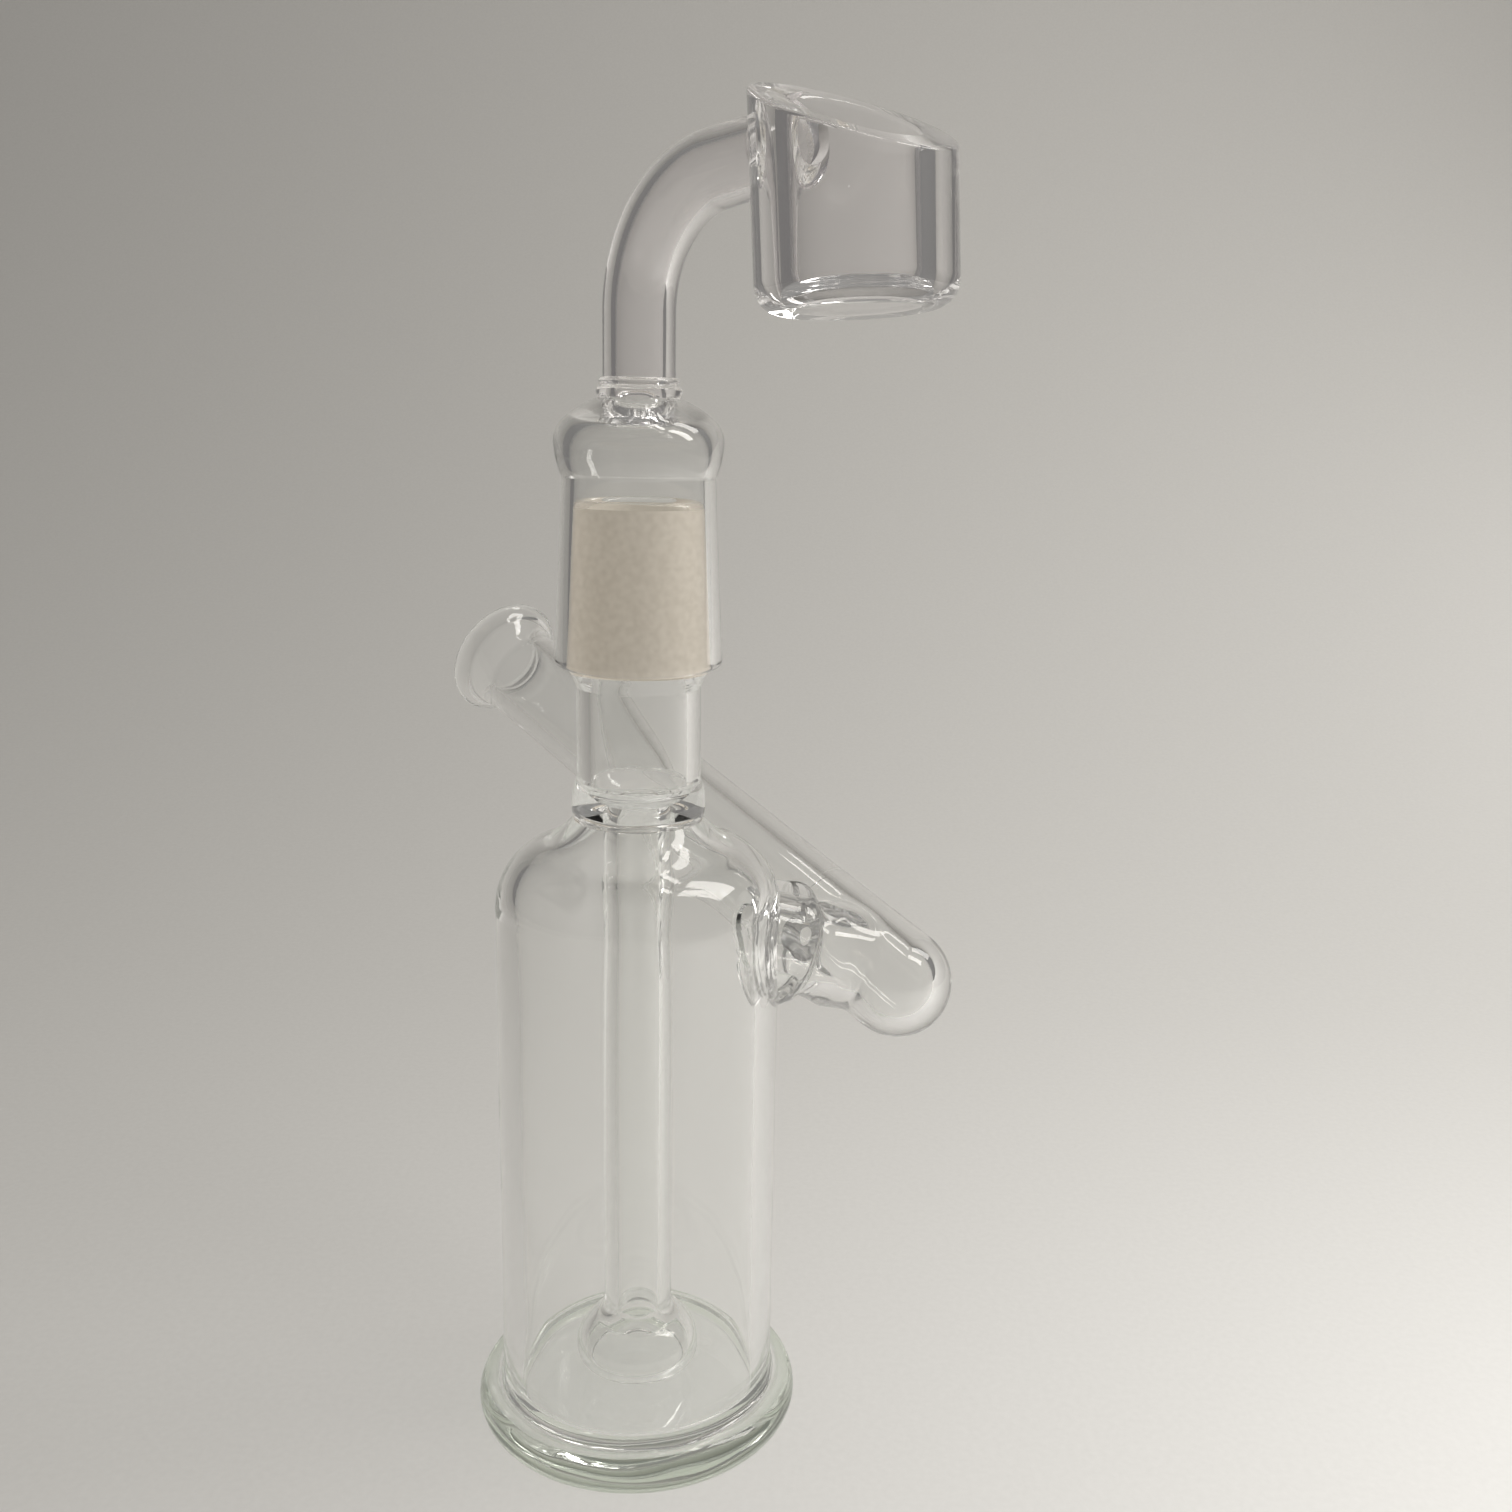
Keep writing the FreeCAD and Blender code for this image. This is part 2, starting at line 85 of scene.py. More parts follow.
FOOT_R = high("foot_disc").x
FOOT_TOP = high("foot_disc").z
CHAMBER_R = high("chamber_tube").y
CHAMBER_BORE = bore_of("chamber_tube")
SHOULDER_Z = low("chamber_shoulder").z
SHOULDER_TOP = high("chamber_shoulder").z
SHOULDER_BORE = bore_of("chamber_shoulder")
BEAD_R = high("base_weld_bead").y
BEAD_TOP = high("base_weld_bead").z
SEAL_R = high("neck_seal_ring").y
SEAL_TOP = high("neck_seal_ring").z
NECK_R = high("neck_tube").y
NECK_BORE = bore_of("neck_tube")
FLARE_Z = low("male_joint_flare").z
CONE_Z = low("male_joint_cone").z
CONE_TOP = high("male_joint_cone").z
CONE_R = high("male_joint_cone").y
TIP_TOP = high("male_joint_tip").z
STEM_R = high("downstem_tube").y
STEM_BORE = bore_of("downstem_tube")
BELL_TOP = high("diffuser_bell").z
BELL_LOW = low("diffuser_bell").z
BELL_R = high("diffuser_bell").y
SOCKET_Z = low("joint_socket").z
SOCKET_R = high("joint_socket").y
WAIST_Z = high("joint_socket").z
DOME_Z = high("socket_shoulder").z
DOME_R = high("socket_shoulder").y
BEAD_LOW_Z = low("arm_weld_bead").z
ARM_BASE_Z = low("arm_tube").z
ARM_BORE = bore_of("arm_weld_bead")
MOUTH = next(m for m in frame["record"]["mounts"] if m["name"] == "mouthpiece")
MOUTH_DIR = Vector(MOUTH["axis"]).normalized()
MOUTH_BORE = MOUTH["dims"]["r_mm"]

# ---- sizes that the frame's boxes don't give; pairs are a radius and a height ----
FILLET = 1.1
HOLLOW = 0.29  # how far a hollow fillet's middle lies from its corner, as a share
SHOULDER_R = 9.6
SHOULDER_TURN = math.radians(65)
SHOULDER_HOLLOW = (10.8, 86.1)
FUNNEL_NEAR, FUNNEL_FAR, FUNNEL_SAG = 0.45, 0.55, 0.5
SEAL_INSET = 0.2
SEAL_WEB = 0.6
SEAL_FUNNEL_R, SEAL_FUNNEL_DROP, SEAL_FUNNEL_DEPTH = 5.2, 2.1, 3.2
FLARE_SWELL = 0.45
TAPER = 0.05
JOINT_GAP = 0.05
CONE_WALL = 1.75
TIP_STEP = 0.05
BELL_WIDE_Z = 10.1
BELL_WALL = 1.4
BELL_NECK, BELL_NECK_END = (5.2, 15.4), (6.0, 14.6)
BELL_FLANK, BELL_UNDER, BELL_RIM_R = (8.0, 12.7), (8.35, 8.7), 7.3
BELL_LIP_R, BELL_LIP_RISE = 6.7, 0.02
BELL_INNER_RIM_R, BELL_INNER_RIM_RISE = 6.5, 0.5
BELL_INNER_UNDER, BELL_INNER_FLANK = (7.1, 9.1), (6.7, 11.9)
BELL_INNER_TOP, BELL_INNER_NECK = (5.0, 13.5), (3.5, 14.6)

# The side port, measured along its own axis from the chamber's axis outwards.
PORT_TILT = math.radians(17.0)
PORT_REACH = 35.972
PORT_BORE = 4.5
PORT_START_S = 8.0
RING_R = 8.8
RING_END = 23.9
RING_START, RING_INSET, RING_SWELL, RING_EDGE = 11.0, 0.3, 3.4, 1.0
RING_REGION_R = 10.2
STUB_R = 6.7
STUB_START = 18.0
STUB_SWELL, STUB_FLARE, STUB_END_SWELL = (0.2, 2.5), (0.9, 4.6), 0.4
PLUG_R = 8.15
CUTTER_END = 30.0

# The mouthpiece, measured along its own axis from the middle of its round end.
MOUTH_MOUNT_S = 50.0
MOUTH_MEET_S = 4.2
MOUTH_R = 7.65
MOUTH_END_R = 7.85
MOUTH_SEAM = 17.0
MOUTH_SOLID_END, MOUTH_BORE_END, MOUTH_REGION_END = 30.0, 34.0, 50.0
MOUTH_REGION_GAP = 0.2
PAST_SEAM_R, PAST_SEAM_END = 14.0, 45.0
LIP_START = 89.5
MOUTH_LENGTH = 97.5
LIP_R = 10.2
LIP_FLARE, LIP_INNER_FLARE = (0.4, 3.7), (0.3, 3.0)
# Points round the lip's rolled edge: inwards from its radius, and back from its end.
LIP_ROLL = (0.1, 1.8), (0.3, 0.5), (1.3, 0.0), (2.3, 0.7), (2.9, 2.0)

# How the port's pieces are fused: the voxel, the rounds of flow inside and outside, and the
# part of the mouthpiece where the fused tube's true radius is compared.
VOXEL = 0.34
OUTER_ROUNDS, INNER_ROUNDS = 28, 16
OUTER_SPAN, INNER_SPAN = (20.0, 27.0), (20.0, 30.0)
FLOW = 0.5
WALL_REACH = 1.1
CHAMBER_SOLID_Z, WALL_SOLID_Z = 40.0, 45.0
UNDERSIDE = -0.3

# The lift-off socket.
SOCKET_EDGE, SOCKET_EDGE_IN, SOCKET_EDGE_UP = 0.9, 0.25, 0.3
WAIST_R = 9.85
DOME_BULGE, DOME_WIDE_Z = (10.45, 134.5), 136.7
DOME_CORNER, DOME_CORNER_END = (10.6, 138.6), (9.45, 140.2)
DOME_ROOF, DOME_TOP_R = (7.6, 141.55), 5.3
DOME_BORE_DEPTH = 1.5
DOME_INNER_ROOF, DOME_INNER_ROOF_END = (5.2, 140.1), (7.6, 139.0)
DOME_INNER_CORNER, DOME_INNER_CORNER_END = (8.55, 137.9), (8.85, 136.5)
DOME_INNER_BULGE = (8.75, 134.6)

# The arm and its bead. The bead's lumps are (share, waves in a turn, phase).
ARM_AZIMUTH = math.radians(-61.0)
ARM_R = 4.6
ARM_END_R = 3.8
ARM_BORE_TAPER = 0.4
ARM_PLUG_GAP = 0.1
ARM_BEAD_R = 5.6
WELD_STEP = 0.15
BEND_Z = 152.9
BEND_R = 15.8
BEND_ANGLE = math.radians(84.0)
RISER_STEPS, BEND_STEPS, RUN_STEPS = 6, 24, 12
LUMPS = (0.5, 3, 0.7), (0.3, 7, 2.1), (0.2, 11, 0.0)
LUMP_SIZE = 0.17
LUMP_MARGIN, LUMP_END = 0.5, 0.02
PINCH_DEPTH, PINCH_HEIGHT, PINCH_WIDTH = 0.62, 0.62, 0.11

# The cup.
CUP_R = 11.1
CUP_BORE = 7.0
CUP_REACH = 35.2
CUP_TILT = math.radians(4.5)
CUP_RIM_Z = 172.2
CUP_BOTTOM_Z = 152.0
CUP_FLOOR = 3.0
CUP_FLOOR_EDGE = 0.5
CUP_CORNER = 2.9
CUP_SOLID_RISE = 9
RIM_SLOPE = math.tan(math.radians(26.0))
RIM_TURN = math.radians(-8.0)
RIM_ROUND = 0.55
SLANT_START = 2
WELD_R = 5.3
WELD_LENGTH = 2.8
WELD_SINK = 0.86
WELD_SWELL, WELD_MIDDLE, WELD_OVERLAP = 0.6, 0.6, 2.0

PORT_DIR = Vector((math.cos(PORT_TILT), 0, -math.sin(PORT_TILT)))
MOUTH_START = Vector(MOUTH["pos_m"]) / MM - MOUTH_DIR * MOUTH_MOUNT_S
PORT_MEET = MOUTH_START + MOUTH_DIR * MOUTH_MEET_S
PORT_START = PORT_MEET - PORT_DIR * PORT_REACH
ARM_U = Vector((math.cos(ARM_AZIMUTH), math.sin(ARM_AZIMUTH), 0))
ARM_SIDE = Z_AXIS.cross(ARM_U)
FLOOR_TOP = CUP_BOTTOM_Z + CUP_FLOOR


# ---- outlines: half sections that are turned about an axis ----
def line(r, z, surface=GLASS):
    return "line", surface, (r, z)


def arc(middle, end, surface=GLASS):
    return "arc", surface, (middle, end)


def arc_points(a, b, c):
    """Points on the arc from a through b to c."""
    ax, ay, bx, by, cx, cy = *a, *b, *c
    d = 2 * (ax * (by - cy) + bx * (cy - ay) + cx * (ay - by))
    aa, bb, cc = ax * ax + ay * ay, bx * bx + by * by, cx * cx + cy * cy
    ux = (aa * (by - cy) + bb * (cy - ay) + cc * (ay - by)) / d
    uy = (aa * (cx - bx) + bb * (ax - cx) + cc * (bx - ax)) / d
    radius = math.hypot(ax - ux, ay - uy)
    start = math.atan2(ay - uy, ax - ux)
    end = math.atan2(cy - uy, cx - ux)
    middle = math.atan2(by - uy, bx - ux)
    turn = (end - start) % math.tau
    if (middle - start) % math.tau > turn:
        turn -= math.tau
    count = max(4, round(abs(turn) / ARC_STEP))
    found = [start + turn * i / count for i in range(1, count)]
    return [(ux + radius * math.cos(t), uy + radius * math.sin(t)) for t in found] + [c]


def outline(start, steps, spacing):
    """The closed half section's points, and the surface of the edge after each."""
    points, surfaces = [start], []
    for kind, surface, data in [*steps, line(*start)]:
        here = points[-1]
        if kind == "arc":
            new = arc_points(here, *data)
        else:
            length = math.dist(here, data)
            if length < SAME_POINT:
                continue
            count = max(1, math.ceil(length / spacing))
            new = [
                tuple(h + (d - h) * i / count for h, d in zip(here, data))
                for i in range(1, count + 1)
            ]
        points += new
        surfaces += [surface] * len(new)
    return points[:-1], surfaces


def linked(name, data):
    """A new object in the scene for a mesh, a lamp or a camera."""
    obj = bpy.data.objects.new(name, data)
    bpy.context.scene.collection.objects.link(obj)
    return obj


def add_slots(mesh):
    """Empty material slots for the three surfaces."""
    for _ in (GLASS, FUSED, GROUND):
        mesh.materials.append(None)


def shade_smooth(mesh):
    mesh.polygons.foreach_set("use_smooth", [True] * len(mesh.polygons))


def finish_mesh(mesh):
    """Outward normals, smooth shading, and sharp edges only where the shape has them."""
    bm = bmesh.new()
    bm.from_mesh(mesh)
    bmesh.ops.recalc_face_normals(bm, faces=bm.faces)
    bm.to_mesh(mesh)
    bm.free()
    shade_smooth(mesh)
    mesh.set_sharp_from_angle(angle=SHARP_ANGLE)
    mesh.update()


def new_object(name, verts, faces, surfaces):
    mesh = bpy.data.meshes.new(name)
    mesh.from_pydata(verts, [], faces)
    add_slots(mesh)
    mesh.polygons.foreach_set("material_index", surfaces)
    finish_mesh(mesh)
    return linked(name, mesh)


def lathe(name, start, *steps, warp=None, segments=SEGMENTS, spacing=SPACING):
    """A closed mesh turned about Z, in millimetres. warp moves each (r, z, angle) point."""
    points, tags = outline(start, steps, spacing)
    verts, rings = [], []
    for r, z in points:
        if r < ON_AXIS:
            rings.append([len(verts)] * segments)
            verts.append((0, 0, z))
            continue
        rings.append(list(range(len(verts), len(verts) + segments)))
        for k in range(segments):
            t = math.tau * k / segments
            rr, zz = warp(r, z, t) if warp else (r, z)
            verts.append((rr * math.cos(t), rr * math.sin(t), zz))
    faces, surfaces = [], []
    for i, tag in enumerate(tags):
        after = (i + 1) % len(rings)
        a, b = rings[i], rings[after]
        if points[i][0] < ON_AXIS and points[after][0] < ON_AXIS:
            continue
        for k in range(segments):
            n = (k + 1) % segments
            quad = [a[k], a[n], b[n], b[k]]
            quad = [v for j, v in enumerate(quad) if v != quad[j - 1]]
            faces.append(quad)
            surfaces.append(tag)
    return new_object(name, verts, faces, surfaces)


def rod(name, radius, from_z, to_z, segments):
    """A plain solid cylinder about Z."""
    return lathe(
        name, (0, from_z),
        line(radius, from_z),
        line(radius, to_z),
        line(0, to_z),
        segments=segments,
    )


def round_end(radius):
    """The start and the first step of an outline whose lower end is half a ball."""
    edge = radius * math.sqrt(0.5)
    return (0, -radius), arc((edge, -edge), (radius, 0))


def along(base, toward):
    """The matrix that takes an axis along Z to one from base toward a direction."""
    return Matrix.Translation(base) @ toward.to_track_quat("Z", "Y").to_matrix().to_4x4()


def put(obj, matrix):
    obj.data.transform(matrix)
    return obj


def drop(*objs):
    for obj in objs:
        mesh = obj.data
        bpy.data.objects.remove(obj)
        bpy.data.meshes.remove(mesh)


def apply_modifiers(obj):
    """Replaces an object's mesh with what its modifiers make of it."""
    depsgraph = bpy.context.evaluated_depsgraph_get()
    made = bpy.data.meshes.new_from_object(obj.evaluated_get(depsgraph))
    old = obj.data
    obj.modifiers.clear()
    obj.data = made
    bpy.data.meshes.remove(old)


def carve(obj, tool, operation="DIFFERENCE"):
    """Cuts obj with tool, exactly. The new faces keep the tool's surface numbers."""
    modifier = obj.modifiers.new("carve", "BOOLEAN")
    modifier.object = tool
    modifier.operation = operation
    modifier.solver = "EXACT"
    modifier.material_mode = "INDEX"
    apply_modifiers(obj)
    return obj


def copy_of(obj, name):
    return linked(name, obj.data.copy())


def tagged(obj, surface):
    """Gives every face of an object one surface number."""
    obj.data.polygons.foreach_set("material_index", [surface] * len(obj.data.polygons))
    return obj


def joined(name, objs):
    """One object that holds the closed meshes of several."""
    bm = bmesh.new()
    for obj in objs:
        bm.from_mesh(obj.data)
    mesh = bpy.data.meshes.new(name)
    bm.to_mesh(mesh)
    bm.free()
    made = linked(name, mesh)
    drop(*objs)
    return made


def melted(obj, rounds, true_radius, span, place):
    """Fuses overlapping solids and lets the joins flow together, as flame-worked glass does.

    The flow thins the shape, so that it then grows back until the tube that lies along
    place has its true radius over the span."""
    remesh = obj.modifiers.new("fuse", "REMESH")
    remesh.mode = "VOXEL"
    remesh.voxel_size = VOXEL
    remesh.use_smooth_shade = True
    flow = obj.modifiers.new("flow", "SMOOTH")
    flow.factor = FLOW
    flow.iterations = rounds
    apply_modifiers(obj)
    mesh = obj.data
    inverse = place.inverted()
    local = [inverse @ v.co for v in mesh.vertices]
    near = [math.hypot(p.x, p.y) for p in local if span[0] < p.z < span[1]]
    near = [r for r in near if r < true_radius * WALL_REACH]
    growth = true_radius - sum(near) / len(near)
    normals = [v.normal.copy() for v in mesh.vertices]
    for v, n in zip(mesh.vertices, normals):
        v.co += n * growth
    add_slots(mesh)
    return tagged(obj, GLASS)


# ---- hand-worked unevenness ----
# One smooth field for the whole body, so that fused faces still meet: (height, size).
UNEVEN = [
    (0.0, 0.0),
    (FOOT_TOP * 0.5, 0.1),
    (FOOT_TOP, 0.12),
    (12.0, 0.03),
    (70.0, 0.03),
    (SHOULDER_Z, 0.08),
    (SHOULDER_TOP, 0.1),
    (SEAL_TOP, 0.09),
    (SEAL_TOP + 4, 0.03),
    (FLARE_Z, 0.0),
]
UNEVEN_SCALE = 0.11
UNEVEN_SEED = 1794919477  # unseeded, the field would differ from run to run
noise.seed_set(UNEVEN_SEED)


def between(table, x):
    """The table's value at x, on a straight line between its rows."""
    for (x0, y0), (x1, y1) in zip(table, table[1:]):
        if x <= x1:
            return y0 + (y1 - y0) * max(0.0, x - x0) / (x1 - x0)
    return table[-1][1]


def make_uneven(obj):
    """Shifts a piece by the field, but leaves the foot flat where it stands."""
    for v in obj.data.vertices:
        size = between(UNEVEN, v.co.z)
        shift = noise.noise_vector(v.co * UNEVEN_SCALE) * size * 2
        shift.z *= min(1.0, v.co.z / FOOT_TOP)
        v.co += shift


pieces = []


def piece(obj, body, slot, *nodes):
    """Scales a finished mesh to metres and hangs it on its body in place of its CAD nodes."""
    obj.name = obj.name.split(".")[0] + "_glass"
    obj.data.transform(Matrix.Scale(MM, 4))
    finish_mesh(obj.data)
    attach(obj, body)
    if nodes:
        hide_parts(*nodes)
    pieces.append((obj, slot))


def cone_radius(z):
    return CONE_R - TAPER * (z - CONE_Z)


# ---- foot and chamber ----
def shoulder_turn(radius):
    """The middle and the upper end of the shoulder's round turn, at a radius about its centre."""
    centre = CHAMBER_R - SHOULDER_R
    return [
        (centre + radius * math.cos(turn), SHOULDER_Z + radius * math.sin(turn))
        for turn in (SHOULDER_TURN / 2, SHOULDER_TURN)
    ]


def shoulder_outer():
    """Outer side of the shoulder, from the chamber's wall up to the neck."""
    middle, end = shoulder_turn(SHOULDER_R)
    return [arc(middle, end), arc(SHOULDER_HOLLOW, (SEAL_R - SEAL_INSET, SHOULDER_TOP))]


def shoulder_inner():
    """Inner side of the shoulder, from the neck down to the chamber's wall."""
    middle, end = shoulder_turn(CHAMBER_BORE - (CHAMBER_R - SHOULDER_R))
    rise = (
        end[0] * FUNNEL_NEAR + SHOULDER_BORE * FUNNEL_FAR,
        end[1] * FUNNEL_FAR + SHOULDER_TOP * FUNNEL_NEAR - FUNNEL_SAG,
    )
    return [arc(rise, end), arc(middle, (CHAMBER_BORE, SHOULDER_Z))]


half_foot = FOOT_TOP / 2
foot = lathe(
    "foot_disc", (0, 0),
    line(FOOT_R - half_foot, 0),
    arc((FOOT_R, half_foot), (FOOT_R - half_foot, FOOT_TOP)),
    line(BEAD_R, FOOT_TOP),
    line(CHAMBER_BORE - FILLET, FOOT_TOP, FUSED),
    line(0, FOOT_TOP),
)
bead_middle = (
    CHAMBER_R + (BEAD_R - CHAMBER_R) * HOLLOW,
    FOOT_TOP + (BEAD_TOP - FOOT_TOP) * HOLLOW,
)
bead = lathe(
    "base_weld_bead", (CHAMBER_R, FOOT_TOP),
    line(BEAD_R, FOOT_TOP, FUSED),
    arc(bead_middle, (CHAMBER_R, BEAD_TOP)),
    line(CHAMBER_R, FOOT_TOP, FUSED),
)
fillet_middle = (CHAMBER_BORE - FILLET * HOLLOW, FOOT_TOP + FILLET * HOLLOW)
chamber = lathe(
    "chamber_tube", (CHAMBER_BORE - FILLET, FOOT_TOP),
    line(CHAMBER_R, FOOT_TOP, FUSED),
    line(CHAMBER_R, BEAD_TOP, FUSED),
    line(CHAMBER_R, SHOULDER_Z),
    line(CHAMBER_BORE, SHOULDER_Z, FUSED),
    line(CHAMBER_BORE, FOOT_TOP + FILLET),
    arc(fillet_middle, (CHAMBER_BORE - FILLET, FOOT_TOP)),
)
shoulder = lathe(
    "chamber_shoulder", (CHAMBER_BORE, SHOULDER_Z),
    line(CHAMBER_R, SHOULDER_Z, FUSED),
    *shoulder_outer(),
    line(SHOULDER_BORE, SHOULDER_TOP, FUSED),
    *shoulder_inner(),
)
seal = lathe(
    "neck_seal_ring", (STEM_BORE, SHOULDER_TOP),
    line(STEM_R, SHOULDER_TOP, FUSED),
    arc(((STEM_R + SHOULDER_BORE) / 2, SHOULDER_TOP + SEAL_WEB), (SHOULDER_BORE, SHOULDER_TOP)),
    line(SEAL_R - SEAL_INSET, SHOULDER_TOP, FUSED),
    arc((SEAL_R, (SHOULDER_TOP + SEAL_TOP) / 2), (NECK_R + SEAL_INSET, SEAL_TOP)),
    line(NECK_R, SEAL_TOP),
    line(NECK_BORE, SEAL_TOP, FUSED),
    arc((SEAL_FUNNEL_R, SEAL_TOP - SEAL_FUNNEL_DROP), (STEM_BORE, SEAL_TOP - SEAL_FUNNEL_DEPTH)),
    spacing=SEAL_SPACING,
)
neck = lathe(
    "neck_tube", (NECK_BORE, SEAL_TOP),
    line(NECK_R, SEAL_TOP, FUSED),
    line(NECK_R, FLARE_Z),
    line(NECK_BORE, FLARE_Z, FUSED),
)
cone_bore = CONE_R - CONE_WALL
flare_mid = (FLARE_Z + CONE_Z) / 2
flare = lathe(
    "male_joint_flare", (NECK_BORE, FLARE_Z),
    line(NECK_R, FLARE_Z, FUSED),
    arc((NECK_R + FLARE_SWELL, flare_mid), (CONE_R, CONE_Z)),
    line(cone_bore, CONE_Z, FUSED),
    arc((NECK_BORE + FLARE_SWELL, flare_mid), (NECK_BORE, FLARE_Z)),
)
tip_outer = cone_radius(CONE_TOP)
tip_inner = tip_outer - CONE_WALL
tip_round = TIP_TOP - CONE_WALL / 2
cone = lathe(
    "male_joint_cone", (cone_bore, CONE_Z),
    line(CONE_R, CONE_Z, FUSED),
    line(tip_outer, CONE_TOP, GROUND),
    line(tip_inner, CONE_TOP, FUSED),
)
tip = lathe(
    "male_joint_tip", (tip_inner, CONE_TOP),
    line(tip_outer, CONE_TOP, FUSED),
    line(tip_outer - TIP_STEP, tip_round, GROUND),
    arc(((tip_outer + tip_inner) / 2, TIP_TOP), (tip_inner, tip_round)),
)
stem = lathe(
    "downstem_tube", (STEM_BORE, BELL_TOP),
    line(STEM_R, BELL_TOP, FUSED),
    line(STEM_R, SHOULDER_TOP),
    line(STEM_BORE, SHOULDER_TOP, FUSED),
    segments=STEM_SEGMENTS,
)
bell = lathe(
    "diffuser_bell", (STEM_BORE, BELL_TOP),
    line(STEM_R, BELL_TOP, FUSED),
    arc(BELL_NECK, BELL_NECK_END),
    arc(BELL_FLANK, (BELL_R, BELL_WIDE_Z)),
    arc(BELL_UNDER, (BELL_RIM_R, BELL_LOW)),
    arc((BELL_LIP_R, BELL_LOW + BELL_LIP_RISE), (BELL_INNER_RIM_R, BELL_LOW + BELL_INNER_RIM_RISE)),
    arc(BELL_INNER_UNDER, (BELL_R - BELL_WALL, BELL_WIDE_Z)),
    arc(BELL_INNER_FLANK, BELL_INNER_TOP),
    arc(BELL_INNER_NECK, (STEM_BORE, BELL_TOP)),
    segments=STEM_SEGMENTS,
)

# ---- side port: its ring, its stub and the mouthpiece's round end flow into each other ----
PORT_PLACE = along(PORT_START, PORT_DIR)
MOUTH_PLACE = along(MOUTH_START, MOUTH_DIR)

ring_solid = lathe(
    "ring_solid", (0, RING_START),
    line(RING_R - RING_INSET, RING_START),
    line(RING_R - RING_INSET, RING_END - RING_SWELL),
    arc((RING_R, RING_END - RING_SWELL / 2), (RING_R - RING_EDGE, RING_END)),
    line(0, RING_END),
    segments=PORT_SEGMENTS,
)
stub_solid = lathe(
    "stub_solid", (0, STUB_START),
    line(STUB_R, STUB_START),
    line(STUB_R, RING_END),
    arc(
        (STUB_R + STUB_SWELL[0], RING_END + STUB_SWELL[1]),
        (STUB_R + STUB_FLARE[0], RING_END + STUB_FLARE[1]),
    ),
    line(STUB_R + STUB_END_SWELL, PORT_REACH),
    line(0, PORT_REACH),
    segments=PORT_SEGMENTS,
)
end_solid = lathe(
    "end_solid", *round_end(MOUTH_END_R),
    line(MOUTH_R, MOUTH_SEAM),
    line(MOUTH_R, MOUTH_SOLID_END),
    line(0, MOUTH_SOLID_END),
    segments=PORT_SEGMENTS,
)
port_bore = rod("port_bore", PORT_BORE, PORT_START_S, PORT_REACH, PORT_SEGMENTS)
mouth_bore = lathe(
    "mouth_bore", *round_end(MOUTH_BORE),
    line(MOUTH_BORE, MOUTH_BORE_END),
    line(0, MOUTH_BORE_END),
    segments=PORT_SEGMENTS,
)
outer_solids = [
    put(ring_solid, PORT_PLACE),
    put(stub_solid, PORT_PLACE),
    put(end_solid, MOUTH_PLACE),
]
inner_solids = [put(port_bore, PORT_PLACE), put(mouth_bore, MOUTH_PLACE)]
branch = melted(joined("branch", outer_solids), OUTER_ROUNDS, MOUTH_R, OUTER_SPAN, MOUTH_PLACE)
branch_bore = melted(
    joined("branch_bore", inner_solids), INNER_ROUNDS, MOUTH_BORE, INNER_SPAN, MOUTH_PLACE
)
carve(branch, branch_bore)

# The fused branch is cut off at the chamber and at the tube's seam, and then divided
# into the ring and the rest.
chamber_solid = tagged(lathe(
    "chamber_solid", (0, CHAMBER_SOLID_Z),
    line(CHAMBER_R, CHAMBER_SOLID_Z),
    line(CHAMBER_R, SHOULDER_Z),
    *shoulder_outer(),
    line(0, SHOULDER_TOP),
), FUSED)
past_seam = rod("past_seam", PAST_SEAM_R, MOUTH_SEAM, PAST_SEAM_END, SEAM_SEGMENTS)
ring_region = rod("ring_region", RING_REGION_R, PORT_START_S, RING_END, PORT_SEGMENTS)
mouth_region = lathe(
    "mouth_region", *round_end(MOUTH_END_R),
    line(MOUTH_R + MOUTH_REGION_GAP, MOUTH_SEAM),
    line(MOUTH_R + MOUTH_REGION_GAP, MOUTH_REGION_END),
    line(0, MOUTH_REGION_END),
    segments=PORT_SEGMENTS,
)
tagged(put(past_seam, MOUTH_PLACE), FUSED)
tagged(put(ring_region, PORT_PLACE), FUSED)
tagged(put(mouth_region, MOUTH_PLACE), FUSED)
carve(branch, chamber_solid)
carve(branch, past_seam)
carve(ring_region, mouth_region)
ring = carve(copy_of(branch, "side_port_weld_ring"), ring_region, "INTERSECT")
branch_end = carve(branch, ring_region)
branch_end.name = "mouthpiece_closed_end"

# The part of the chamber's wall that the port is melted into is a piece of its own.
wall_solid = tagged(lathe(
    "wall_solid", (CHAMBER_BORE, WALL_SOLID_Z),
    line(CHAMBER_R, WALL_SOLID_Z),
    line(CHAMBER_R, SHOULDER_Z),
    *shoulder_outer(),
    line(SHOULDER_BORE, SHOULDER_TOP),
    *shoulder_inner(),
), FUSED)
for face in wall_solid.data.polygons:
    flat = Vector((face.center.x, face.center.y, 0))
    if face.normal.dot(flat) < 0 or face.normal.z < UNDERSIDE:
        face.material_index = GLASS
port_cutter = rod("port_cutter", PLUG_R, PORT_START_S, CUTTER_END, CUTTER_SEGMENTS)
tagged(put(port_cutter, PORT_PLACE), FUSED)
carve(chamber, port_cutter)
carve(shoulder, port_cutter)
plug = carve(wall_solid, port_cutter, "INTERSECT")
plug.name = "side_port_wall"
carve(plug, branch_bore)
drop(chamber_solid, past_seam, ring_region, mouth_region, port_cutter, branch_bore)

